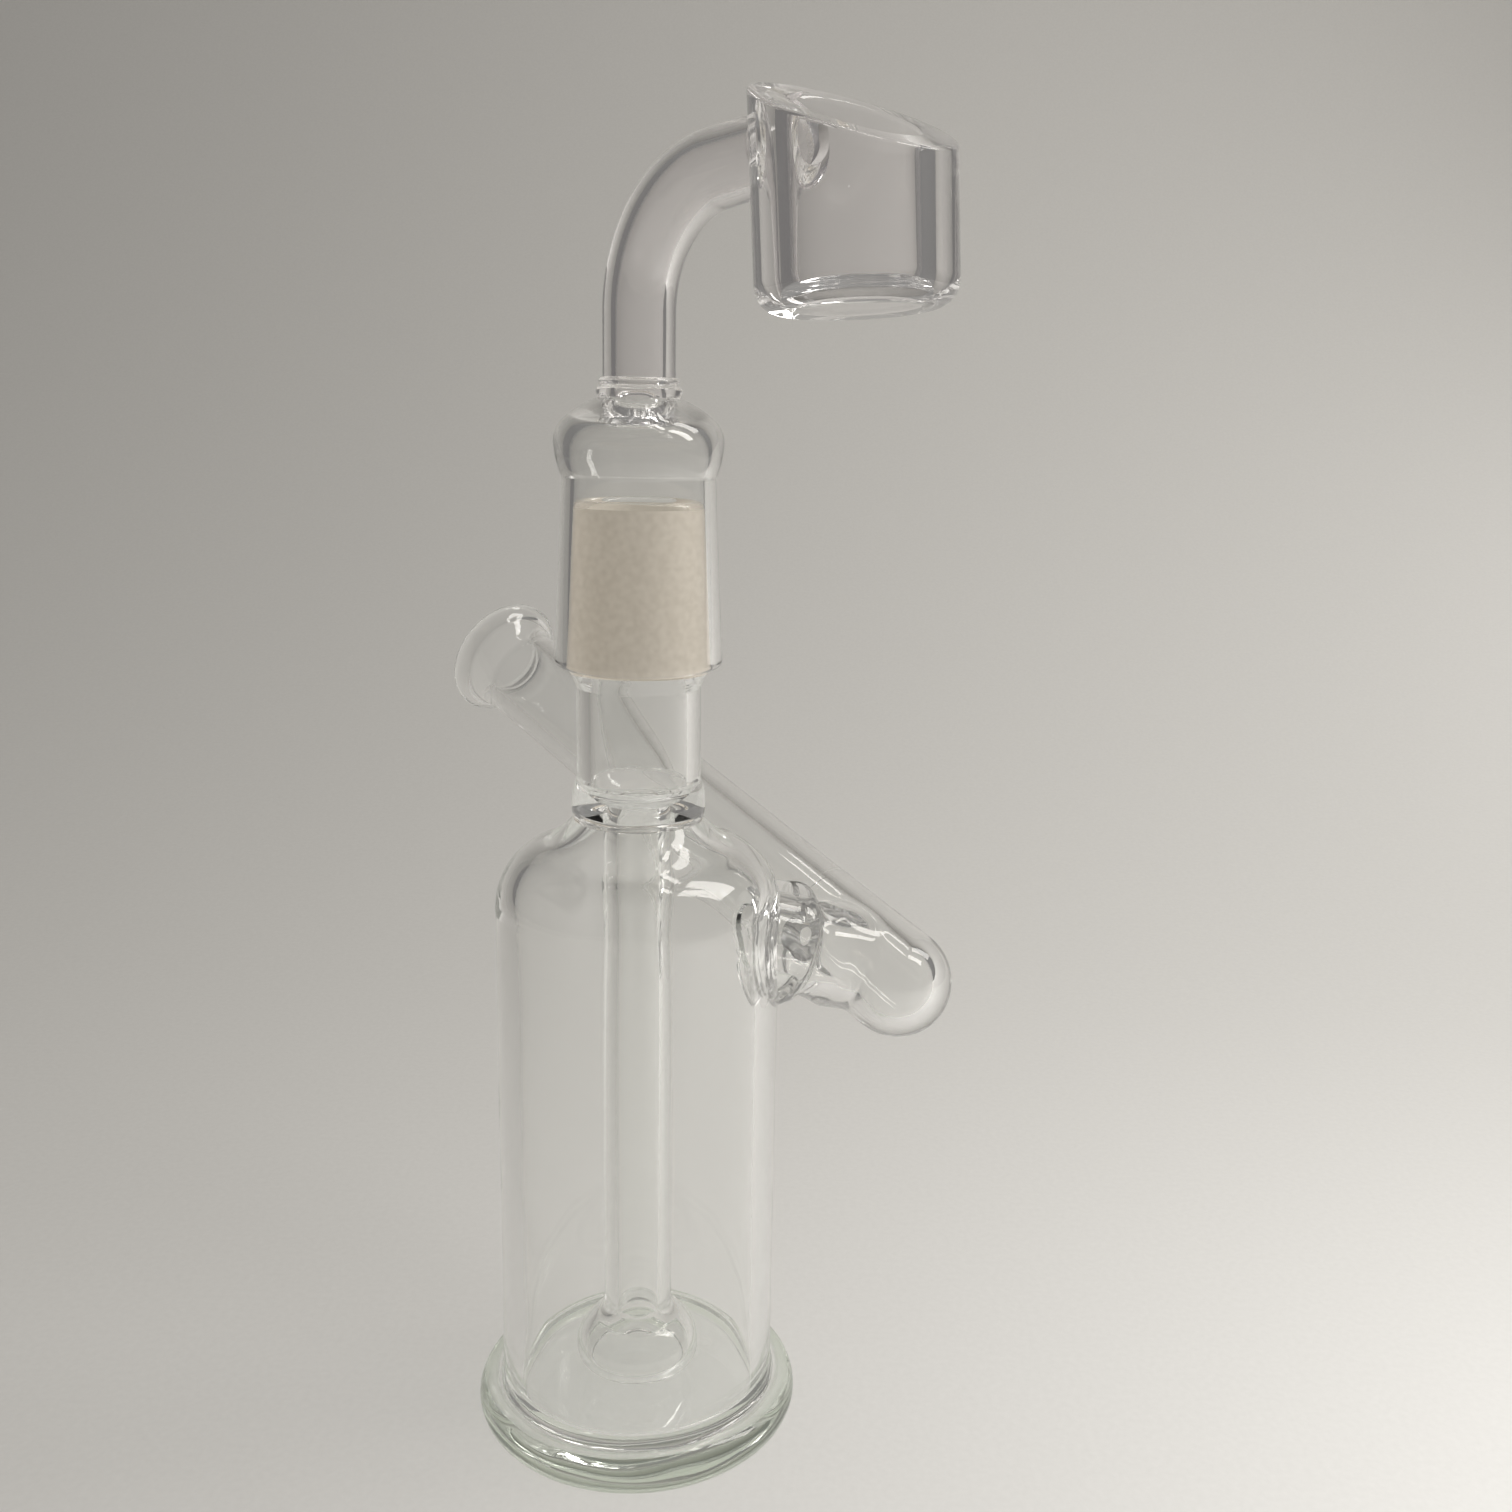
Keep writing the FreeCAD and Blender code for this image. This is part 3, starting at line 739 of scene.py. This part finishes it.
mouth_tube = put(lathe(
    "mouthpiece_tube", (MOUTH_BORE, MOUTH_SEAM),
    line(MOUTH_R, MOUTH_SEAM, FUSED),
    line(MOUTH_R, LIP_START),
    line(MOUTH_BORE, LIP_START, FUSED),
), MOUTH_PLACE)
flare_end, roll_outer, roll_end, roll_inner, roll_back = (
    (LIP_R - inwards, MOUTH_LENGTH - back) for inwards, back in LIP_ROLL
)
lip = put(lathe(
    "mouthpiece_lip", (MOUTH_BORE, LIP_START),
    line(MOUTH_R, LIP_START, FUSED),
    arc((MOUTH_R + LIP_FLARE[0], LIP_START + LIP_FLARE[1]), flare_end),
    arc(roll_outer, roll_end),
    arc(roll_inner, roll_back),
    arc(
        (MOUTH_BORE + LIP_INNER_FLARE[0], LIP_START + LIP_INNER_FLARE[1]),
        (MOUTH_BORE, LIP_START),
    ),
), MOUTH_PLACE)

# ---- lift-off socket ----
waist_bore = cone_radius(WAIST_Z) + JOINT_GAP
edge_middle = (SOCKET_R - SOCKET_EDGE * SOCKET_EDGE_IN, SOCKET_Z + SOCKET_EDGE * SOCKET_EDGE_UP)
socket = lathe(
    "joint_socket", (cone_radius(SOCKET_Z) + JOINT_GAP, SOCKET_Z),
    line(SOCKET_R - SOCKET_EDGE, SOCKET_Z),
    arc(edge_middle, (SOCKET_R, SOCKET_Z + SOCKET_EDGE)),
    line(WAIST_R, WAIST_Z),
    line(waist_bore, WAIST_Z, FUSED),
)
socket_dome = lathe(
    "socket_shoulder", (waist_bore, WAIST_Z),
    line(WAIST_R, WAIST_Z, FUSED),
    arc(DOME_BULGE, (DOME_R, DOME_WIDE_Z)),
    arc(DOME_CORNER, DOME_CORNER_END),
    arc(DOME_ROOF, (DOME_TOP_R, DOME_Z)),
    line(ARM_BORE, DOME_Z, FUSED),
    line(ARM_BORE, DOME_Z - DOME_BORE_DEPTH),
    arc(DOME_INNER_ROOF, DOME_INNER_ROOF_END),
    arc(DOME_INNER_CORNER, DOME_INNER_CORNER_END),
    arc(DOME_INNER_BULGE, (waist_bore, WAIST_Z)),
)


# ---- arm and cup ----
def in_plane(out, height):
    """A point or a direction in the arm's upright plane."""
    return ARM_U * out + Z_AXIS * height


def lumpy(r, z, t):
    """A weld of two melted rings, the lower one the larger, with lumps around it."""
    height = (z - BEAD_LOW_Z) / (ARM_BASE_Z - BEAD_LOW_Z)
    if r < ARM_BORE + LUMP_MARGIN or not LUMP_END < height < 1 - LUMP_END:
        return r, z
    pinch = PINCH_DEPTH * math.exp(-(((height - PINCH_HEIGHT) / PINCH_WIDTH) ** 2))
    swell = sum(share * math.sin(waves * t + phase) for share, waves, phase in LUMPS)
    lobe = math.sin(math.pi * height)
    return r - pinch + (LUMP_SIZE * swell - LUMP_SIZE) * lobe, z


arm_bead = lathe(
    "arm_weld_bead", (ARM_BORE, BEAD_LOW_Z),
    line(DOME_TOP_R, BEAD_LOW_Z, FUSED),
    arc((ARM_BEAD_R, (BEAD_LOW_Z + ARM_BASE_Z) / 2), (ARM_R + WELD_STEP, ARM_BASE_Z)),
    line(ARM_R, ARM_BASE_Z),
    line(ARM_BORE, ARM_BASE_Z, FUSED),
    warp=lumpy, spacing=LUMP_SPACING,
)


def bend_point(t):
    return in_plane(BEND_R * (1 - math.cos(t)), BEND_Z + BEND_R * math.sin(t))


def bend_direction(t):
    return in_plane(math.sin(t), math.cos(t))


RUN_START = bend_point(BEND_ANGLE)
RUN_DIR = bend_direction(BEND_ANGLE)
RUN_LENGTH = (CUP_REACH - RUN_START.dot(ARM_U)) / RUN_DIR.dot(ARM_U)


def arm_stations():
    """Centre, direction and share of the taper along the arm's middle line."""
    found = []
    for i in range(RISER_STEPS):
        height = ARM_BASE_Z + (BEND_Z - ARM_BASE_Z) * i / RISER_STEPS
        found.append((in_plane(0, height), Z_AXIS, 0.0))
    for i in range(BEND_STEPS + 1):
        t = BEND_ANGLE * i / BEND_STEPS
        found.append((bend_point(t), bend_direction(t), 0.0))
    for i in range(1, RUN_STEPS + 1):
        found.append((RUN_START + RUN_DIR * RUN_LENGTH * i / RUN_STEPS, RUN_DIR, i / RUN_STEPS))
    return found


def arm_rings(first, last):
    """Rings of points round the arm's middle line, with a first and a last radius."""
    verts = []
    for centre, toward, share in arm_stations():
        up = toward.cross(ARM_SIDE)
        radius = first + (last - first) * share
        for k in range(ARM_SEGMENTS):
            t = math.tau * k / ARM_SEGMENTS
            verts.append(centre + (ARM_SIDE * math.cos(t) + up * math.sin(t)) * radius)
    return verts


def arm_mesh(name, outer, inner=None):
    """The arm as a full rod, or as a tube if it has an inner pair of radii."""
    turn = ARM_SEGMENTS
    count = len(arm_stations())
    verts = arm_rings(*outer)
    faces, surfaces = [], []

    def skin(base):
        for i in range(count - 1):
            for k in range(turn):
                n = (k + 1) % turn
                a, b = base + i * turn, base + (i + 1) * turn
                faces.append([a + k, a + n, b + n, b + k])
                surfaces.append(GLASS)

    skin(0)
    end = (count - 1) * turn
    if inner is None:
        faces.extend([list(range(turn)), list(range(end, end + turn))])
        surfaces.extend([FUSED, GLASS])
    else:
        base = len(verts)
        verts += arm_rings(*inner)
        skin(base)
        for ring_start, surface in ((0, FUSED), (end, GLASS)):
            for k in range(turn):
                a, b = ring_start + k, ring_start + (k + 1) % turn
                faces.append([a, b, base + b, base + a])
                surfaces.append(surface)
    return new_object(name, verts, faces, surfaces)


# The cup is lathed upright round its own axis, and leans a little about its rim's middle.
AT_CUP = (
    Matrix.Translation(in_plane(CUP_REACH, CUP_RIM_Z))
    @ Matrix.Rotation(-CUP_TILT, 4, ARM_SIDE)
    @ Matrix.Translation(-in_plane(CUP_REACH, CUP_RIM_Z))
    @ Matrix.Translation(ARM_U * CUP_REACH)
    @ Matrix.Rotation(ARM_AZIMUTH, 4, "Z")
)


def slanted(r, z, t):
    """Slants the rim: the wall is sheared along itself, more the higher it is."""
    share = (z - FLOOR_TOP - SLANT_START) / (CUP_RIM_Z - FLOOR_TOP - SLANT_START)
    share = max(0.0, min(1.0, share))
    return r, z - share * RIM_SLOPE * r * math.cos(t - RIM_TURN)


def cup_outside(top):
    """The outer side of the cup, with its rounded bottom edge, up to a height."""
    side = CUP_R - CUP_CORNER
    corner_z = CUP_BOTTOM_Z + CUP_CORNER
    middle = CUP_CORNER * math.sqrt(0.5)
    return [
        line(side, CUP_BOTTOM_Z),
        arc((side + middle, corner_z - middle), (CUP_R, corner_z)),
        line(CUP_R, top),
    ]


half_round = RIM_ROUND * math.sqrt(0.5)
rim_low = CUP_RIM_Z - RIM_ROUND
cup_wall = put(lathe(
    "cup_wall", (CUP_BORE, FLOOR_TOP),
    line(CUP_R, FLOOR_TOP, FUSED),
    line(CUP_R, rim_low),
    arc((CUP_R - RIM_ROUND + half_round, rim_low + half_round), (CUP_R - RIM_ROUND, CUP_RIM_Z)),
    line(CUP_BORE + RIM_ROUND, CUP_RIM_Z),
    arc((CUP_BORE + RIM_ROUND - half_round, rim_low + half_round), (CUP_BORE, rim_low)),
    warp=slanted, segments=CUP_SEGMENTS, spacing=CUP_SPACING,
), AT_CUP)
cup_floor = put(lathe(
    "cup_floor", (0, CUP_BOTTOM_Z),
    *cup_outside(FLOOR_TOP),
    line(CUP_BORE, FLOOR_TOP, FUSED),
    line(CUP_BORE - CUP_FLOOR_EDGE, FLOOR_TOP),
    line(0, FLOOR_TOP),
    segments=CUP_SEGMENTS,
), AT_CUP)
cup_solid = tagged(put(lathe(
    "cup_solid", (0, CUP_BOTTOM_Z),
    *cup_outside(CUP_RIM_Z + CUP_SOLID_RISE),
    line(0, CUP_RIM_Z + CUP_SOLID_RISE),
), AT_CUP), FUSED)

outer_radii = (ARM_R, ARM_END_R)
bore_radii = (ARM_BORE, ARM_BORE - ARM_BORE_TAPER)
plug_radii = (ARM_R - ARM_PLUG_GAP, ARM_END_R - ARM_PLUG_GAP)
arm = arm_mesh("arm_tube", outer_radii, bore_radii)
arm_bore = arm_mesh("arm_bore", bore_radii)
arm_plug = tagged(arm_mesh("arm_plug", plug_radii), FUSED)
carve(arm, cup_solid)

# The part of the cup's wall that the arm is melted to is a piece of its own.
cup_plug = copy_of(cup_wall, "cup_wall_weld")
for face in cup_plug.data.polygons:
    outward = face.center - in_plane(CUP_REACH, face.center.z)
    if face.material_index == GLASS and face.normal.dot(outward) > 0:
        face.material_index = FUSED
carve(cup_plug, arm_plug, "INTERSECT")
carve(cup_plug, arm_bore)
carve(cup_wall, arm_plug)
weld_end = RUN_LENGTH - CUP_R * WELD_SINK
weld_start = weld_end - WELD_LENGTH
cup_weld = put(lathe(
    "cup_weld_bead", (0, weld_start),
    line(ARM_END_R + WELD_STEP, weld_start),
    arc((WELD_R - WELD_SWELL, weld_end - WELD_LENGTH * WELD_MIDDLE), (WELD_R, weld_end)),
    line(WELD_R, weld_end + WELD_OVERLAP),
    line(0, weld_end + WELD_OVERLAP),
    spacing=WELD_SPACING,
), along(RUN_START, RUN_DIR))
carve(cup_weld, cup_solid)
arm_rod = tagged(arm_mesh("arm_rod", outer_radii), FUSED)
carve(cup_weld, arm_rod)
drop(cup_solid, arm_bore, arm_plug, arm_rod)

for obj in (foot, bead, chamber, shoulder, seal, neck, ring, branch_end, plug):
    make_uneven(obj)

# ---- every piece on its body, with its slot and the CAD nodes that it stands for ----
for obj, slot_name, *nodes in (
    (foot, "foot_glass", "foot_disc"),
    (bead, "clear_glass", "base_weld_bead"),
    (chamber, "clear_glass", "chamber_tube"),
    (shoulder, "clear_glass", "chamber_shoulder"),
    (seal, "clear_glass", "neck_seal_ring"),
    (neck, "clear_glass", "neck_tube"),
    (flare, "clear_glass", "male_joint_flare"),
    (cone, "ground_glass", "male_joint_cone"),
    (tip, "clear_glass", "male_joint_tip"),
    (stem, "clear_glass", "downstem_tube"),
    (bell, "clear_glass", "diffuser_bell"),
    (ring, "clear_glass", "side_port_weld_ring"),
    (plug, "clear_glass"),
    (branch_end, "clear_glass", "side_port_stub", "mouthpiece_closed_end"),
    (mouth_tube, "clear_glass", "mouthpiece_tube"),
    (lip, "clear_glass", "mouthpiece_lip"),
):
    piece(obj, "bubbler", slot_name, *nodes)
piece(socket, "socket", "clear_glass", "joint_socket")
piece(socket_dome, "socket", "clear_glass", "socket_shoulder")
for obj, *nodes in (
    (arm_bead, "arm_weld_bead"),
    (arm, "arm_tube"),
    (cup_weld, "cup_weld_bead"),
    (cup_wall, "cup_wall"),
    (cup_plug,),
    (cup_floor, "cup_floor"),
):
    piece(obj, "cup_arm", "quartz", *nodes)

# ---- materials ----
GLASS_IOR, QUARTZ_IOR, GROUND_IOR = 1.474, 1.458, 1.47
STREAK_SCALE, STREAK_DETAIL = (90, 90, 30), 2.0
STREAK_FROM, STREAK_TO = 0.3, 0.7
WAVE_STRENGTH, WAVE_HEIGHT = 0.25, 0.00006
GRAIN_SCALE, GRAIN_DETAIL = 2600.0, 3.0
GRAIN_STRENGTH, GRAIN_HEIGHT = 0.4, 0.00003
CLOUD_SCALE, CLOUD_DETAIL = 1100.0, 6.0
GROUND_DARK, GROUND_LIGHT = (0.36, (0.725, 0.655, 0.557)), (0.64, (0.795, 0.725, 0.625))
GROUND_SHADOW = (0.97, 0.96, 0.94)
GROUND_CLEARNESS, GROUND_ROUGHNESS, GROUND_MILKINESS = 0.15, 0.7, 0.45


def node_material(name):
    material = bpy.data.materials.new(name)
    material.use_nodes = True
    tree = material.node_tree
    tree.nodes.clear()
    return material, tree, tree.nodes.new("ShaderNodeOutputMaterial")


def noise_of(tree, vector, scale, detail):
    """A noise texture's value."""
    texture = tree.nodes.new("ShaderNodeTexNoise")
    texture.inputs["Scale"].default_value = scale
    texture.inputs["Detail"].default_value = detail
    tree.links.new(vector, texture.inputs["Vector"])
    return texture.outputs["Fac"]


def ramp_of(tree, value, *stops):
    """A colour ramp's colour, from (position, colour) stops in order."""
    ramp = tree.nodes.new("ShaderNodeValToRGB")
    elements = ramp.color_ramp.elements
    elements[0].position = stops[0][0]
    elements[1].position = stops[-1][0]
    for position, _ in stops[1:-1]:
        elements.new(position)
    for element, (_, colour) in zip(elements, stops):
        element.color = (*colour, 1)
    tree.links.new(value, ramp.inputs["Fac"])
    return ramp.outputs["Color"]


def bump_of(tree, height, strength, distance):
    """A bump's normal."""
    bump = tree.nodes.new("ShaderNodeBump")
    bump.inputs["Strength"].default_value = strength
    bump.inputs["Distance"].default_value = distance
    tree.links.new(height, bump.inputs["Height"])
    return bump.outputs["Normal"]


def let_light_through(tree, shader, shadow, out):
    """Shows the shader, but lets the rays that carry light to matt surfaces straight through."""
    path = tree.nodes.new("ShaderNodeLightPath")
    either = tree.nodes.new("ShaderNodeMath")
    either.operation = "MAXIMUM"
    through = tree.nodes.new("ShaderNodeBsdfTransparent")
    through.inputs["Color"].default_value = (*shadow, 1)
    mix = tree.nodes.new("ShaderNodeMixShader")
    tree.links.new(path.outputs["Is Shadow Ray"], either.inputs[0])
    tree.links.new(path.outputs["Is Diffuse Ray"], either.inputs[1])
    tree.links.new(either.outputs["Value"], mix.inputs["Fac"])
    tree.links.new(shader, mix.inputs[1])
    tree.links.new(through.outputs["BSDF"], mix.inputs[2])
    tree.links.new(mix.outputs["Shader"], out.inputs["Surface"])


def clear_material(name, tint, ior, shadow, streaks, rim=None):
    """Clear glass with faint streaks of tint, a fire-polished surface that is not quite even,
    and light shadows. rim is a deeper tint, with the radii in metres between which it comes in."""
    material, tree, out = node_material(name)
    nodes, links = tree.nodes, tree.links
    coords = nodes.new("ShaderNodeTexCoord")
    stretch = nodes.new("ShaderNodeMapping")
    stretch.inputs["Scale"].default_value = STREAK_SCALE
    links.new(coords.outputs["Object"], stretch.inputs["Vector"])
    cloud = noise_of(tree, stretch.outputs["Vector"], 1.0, STREAK_DETAIL)
    streak = [c - streaks for c in tint]
    colour = ramp_of(tree, cloud, (STREAK_FROM, streak), (STREAK_TO, tint))
    if rim:
        deep, inner, outer = rim
        flat = nodes.new("ShaderNodeVectorMath")
        flat.operation = "MULTIPLY"
        flat.inputs[1].default_value = (1, 1, 0)
        links.new(coords.outputs["Object"], flat.inputs[0])
        radius = nodes.new("ShaderNodeVectorMath")
        radius.operation = "LENGTH"
        links.new(flat.outputs["Vector"], radius.inputs[0])
        share = nodes.new("ShaderNodeMapRange")
        share.interpolation_type = "SMOOTHSTEP"
        share.inputs["From Min"].default_value = inner
        share.inputs["From Max"].default_value = outer
        links.new(radius.outputs["Value"], share.inputs["Value"])
        deepen = nodes.new("ShaderNodeMix")
        deepen.data_type = "RGBA"
        links.new(share.outputs["Result"], deepen.inputs["Factor"])
        links.new(colour, deepen.inputs["A"])
        deepen.inputs["B"].default_value = (*deep, 1)
        colour = deepen.outputs["Result"]
    glass = nodes.new("ShaderNodeBsdfPrincipled")
    glass.inputs["Transmission Weight"].default_value = 1.0
    glass.inputs["Roughness"].default_value = 0.0
    glass.inputs["IOR"].default_value = ior
    links.new(colour, glass.inputs["Base Color"])
    links.new(bump_of(tree, cloud, WAVE_STRENGTH, WAVE_HEIGHT), glass.inputs["Normal"])
    let_light_through(tree, glass.outputs["BSDF"], shadow, out)
    return material


def fused_material():
    """Inside faces where two pieces of glass are melted together: nothing is seen there."""
    material, tree, out = node_material("fused_face")
    through = tree.nodes.new("ShaderNodeBsdfTransparent")
    tree.links.new(through.outputs["BSDF"], out.inputs["Surface"])
    return material


def ground_material():
    """Ground glass: a fine even grain that scatters what passes."""
    material, tree, out = node_material("ground_glass")
    nodes, links = tree.nodes, tree.links
    where = nodes.new("ShaderNodeTexCoord").outputs["Object"]
    grain = noise_of(tree, where, GRAIN_SCALE, GRAIN_DETAIL)
    cloud = noise_of(tree, where, CLOUD_SCALE, CLOUD_DETAIL)
    colour = ramp_of(tree, cloud, GROUND_DARK, GROUND_LIGHT)
    matt = nodes.new("ShaderNodeBsdfPrincipled")
    matt.inputs["Transmission Weight"].default_value = GROUND_CLEARNESS
    matt.inputs["Roughness"].default_value = GROUND_ROUGHNESS
    matt.inputs["IOR"].default_value = GROUND_IOR
    links.new(colour, matt.inputs["Base Color"])
    links.new(bump_of(tree, grain, GRAIN_STRENGTH, GRAIN_HEIGHT), matt.inputs["Normal"])
    milky = nodes.new("ShaderNodeBsdfTranslucent")
    links.new(colour, milky.inputs["Color"])
    mix = nodes.new("ShaderNodeMixShader")
    mix.inputs["Fac"].default_value = GROUND_MILKINESS
    links.new(matt.outputs["BSDF"], mix.inputs[1])
    links.new(milky.outputs["BSDF"], mix.inputs[2])
    let_light_through(tree, mix.outputs["Shader"], GROUND_SHADOW, out)
    return material


FUSED_FACE = fused_material()
GROUND_FACE = ground_material()
CLEAR = clear_material(
    "clear_glass", (0.992, 0.995, 0.99), GLASS_IOR, shadow=(0.972, 0.972, 0.972), streaks=0.01
)
FOOT = clear_material(
    "foot_glass", (0.985, 0.995, 0.985), GLASS_IOR, shadow=(0.995, 1.0, 0.995), streaks=0.012,
    rim=((0.77, 0.85, 0.74), 0.0195, 0.0222),
)
QUARTZ = clear_material(
    "quartz", (0.995, 0.985, 0.99), QUARTZ_IOR, shadow=(0.96, 0.96, 0.96), streaks=0.035
)
GLASS_BY_SLOT = {
    "clear_glass": CLEAR, "ground_glass": CLEAR, "foot_glass": FOOT, "quartz": QUARTZ
}
for obj, slot_name in pieces:
    obj.data.materials[GLASS] = GLASS_BY_SLOT[slot_name]
    obj.data.materials[FUSED] = FUSED_FACE
    obj.data.materials[GROUND] = GROUND_FACE

# ---- stage: one sheet of paper that runs on into a wall ----
WIDE, NEAR, FAR, BEND, RISE = 0.55, -0.9, 0.75, 0.6, 1.0
PAPER_STEPS = 24
PAPER_GAP = 0.00012
PAPER_FIBRE, PAPER_DETAIL = 900.0, 3.0
PAPER_DARK, PAPER_LIGHT = (0.0, (0.70, 0.685, 0.655)), (1.0, (0.76, 0.745, 0.715))
PAPER_ROUGHNESS, PAPER_SPECULAR = 0.9, 0.2
VIEW_TURN = math.radians(-15.0)


def paper_material():
    material, tree, out = node_material("paper")
    where = tree.nodes.new("ShaderNodeTexCoord").outputs["Object"]
    fibre = noise_of(tree, where, PAPER_FIBRE, PAPER_DETAIL)
    matt = tree.nodes.new("ShaderNodeBsdfPrincipled")
    matt.inputs["Roughness"].default_value = PAPER_ROUGHNESS
    matt.inputs["Specular IOR Level"].default_value = PAPER_SPECULAR
    tree.links.new(ramp_of(tree, fibre, PAPER_DARK, PAPER_LIGHT), matt.inputs["Base Color"])
    tree.links.new(matt.outputs["BSDF"], out.inputs["Surface"])
    return material


def sweep_of_paper():
    """A floor that bends up into a wall, as one sheet."""
    profile = [(NEAR, 0.0), (FAR - BEND, 0.0)]
    for i in range(1, PAPER_STEPS + 1):
        t = math.pi / 2 * i / PAPER_STEPS
        profile.append((FAR - BEND + BEND * math.sin(t), BEND - BEND * math.cos(t)))
    profile.append((FAR, RISE))
    verts = [(x, y, z) for y, z in profile for x in (-WIDE, WIDE)]
    faces = [[2 * i, 2 * i + 1, 2 * i + 3, 2 * i + 2] for i in range(len(profile) - 1)]
    mesh = bpy.data.meshes.new("paper")
    mesh.from_pydata(verts, [], faces)
    shade_smooth(mesh)
    mesh.materials.append(paper_material())
    return linked("paper", mesh)


paper = sweep_of_paper()
paper.matrix_world = Matrix.Rotation(VIEW_TURN, 4, "Z") @ Matrix.Translation((0, 0, -PAPER_GAP))

# ---- camera ----
PITCH, ROLL = math.radians(13.0), math.radians(1.10)
CAMERA_PLACE = Vector((15.58, -195.9, 141.9)) * MM
camera = bpy.data.cameras.new("camera")
camera.sensor_width = 36.0
camera.lens = 36.05
camera.clip_start = 0.01
camera.clip_end = 20.0
eye = linked("camera", camera)
eye.matrix_world = (
    Matrix.Rotation(VIEW_TURN, 4, "Z")
    @ Matrix.Translation(CAMERA_PLACE)
    @ Matrix.Rotation(math.pi / 2 - PITCH, 4, "X")
    @ Matrix.Rotation(ROLL, 4, "Z")
)
bpy.context.scene.camera = eye

# ---- light ----
LAMP_TARGET = Vector((0, 0, 0.08))
WARM, COOL = (1.0, 0.972, 0.925), (0.985, 0.99, 1.0)


def lamp(name, azimuth, rise, distance, size, power, colour, seen=False):
    """A soft box. In the camera's view azimuth 0 is its right and 90 is behind the object.
    A lamp that isn't seen shows in no reflection and through no glass."""
    data = bpy.data.lights.new(name, "AREA")
    data.shape = "RECTANGLE"
    data.size, data.size_y = size
    data.energy = power
    data.color = colour
    obj = linked(name, data)
    a, e = math.radians(azimuth) + VIEW_TURN, math.radians(rise)
    away = Vector((math.cos(a) * math.cos(e), math.sin(a) * math.cos(e), math.sin(e)))
    obj.location = LAMP_TARGET + away * distance
    obj.rotation_mode = "QUATERNION"
    obj.rotation_quaternion = away.to_track_quat("Z", "Y")
    obj.visible_glossy = seen
    obj.visible_transmission = seen


lamp("low", 15, 12, 0.7, (0.4, 0.3), 1.24, COOL)
lamp("near", -30, 15, 0.3, (0.15, 0.15), 0.66, COOL)
lamp("strip", 8, 48, 0.9, (0.18, 0.5), 2.5, WARM, seen=True)
lamp("ceiling", 40, 72, 0.9, (0.35, 0.06), 0.6, WARM, seen=True)

# A dim room that brightens towards its ceiling.
CEILING_GLOW = Vector((0.25, 0.0, 0.97)).normalized()
ROOM = (
    (0.35, (0.24, 0.23, 0.225)),
    (0.62, (0.27, 0.263, 0.255)),
    (1.0, (0.4, 0.395, 0.38)),
)
ROOM_STRENGTH = 0.7
world = bpy.data.worlds.new("room")
bpy.context.scene.world = world
world.use_nodes = True
tree = world.node_tree
tree.nodes.clear()
sky = tree.nodes.new("ShaderNodeTexCoord")
toward = tree.nodes.new("ShaderNodeVectorMath")
toward.operation = "DOT_PRODUCT"
toward.inputs[1].default_value = Matrix.Rotation(VIEW_TURN, 3, "Z") @ CEILING_GLOW
share = tree.nodes.new("ShaderNodeMapRange")
share.inputs["From Min"].default_value = -1.0
share.inputs["From Max"].default_value = 1.0
back = tree.nodes.new("ShaderNodeBackground")
back.inputs["Strength"].default_value = ROOM_STRENGTH
world_out = tree.nodes.new("ShaderNodeOutputWorld")
tree.links.new(sky.outputs["Generated"], toward.inputs[0])
tree.links.new(toward.outputs["Value"], share.inputs["Value"])
tree.links.new(ramp_of(tree, share.outputs["Result"], *ROOM), back.inputs["Color"])
tree.links.new(back.outputs["Background"], world_out.inputs["Surface"])

# Light has to pass many walls of glass here.
BOUNCES = 64
scene = bpy.context.scene
scene.cycles.max_bounces = BOUNCES
scene.cycles.transmission_bounces = BOUNCES
scene.cycles.glossy_bounces = BOUNCES
scene.cycles.transparent_max_bounces = BOUNCES
scene.cycles.caustics_refractive = False
scene.cycles.caustics_reflective = False
scene.view_settings.view_transform = "Standard"
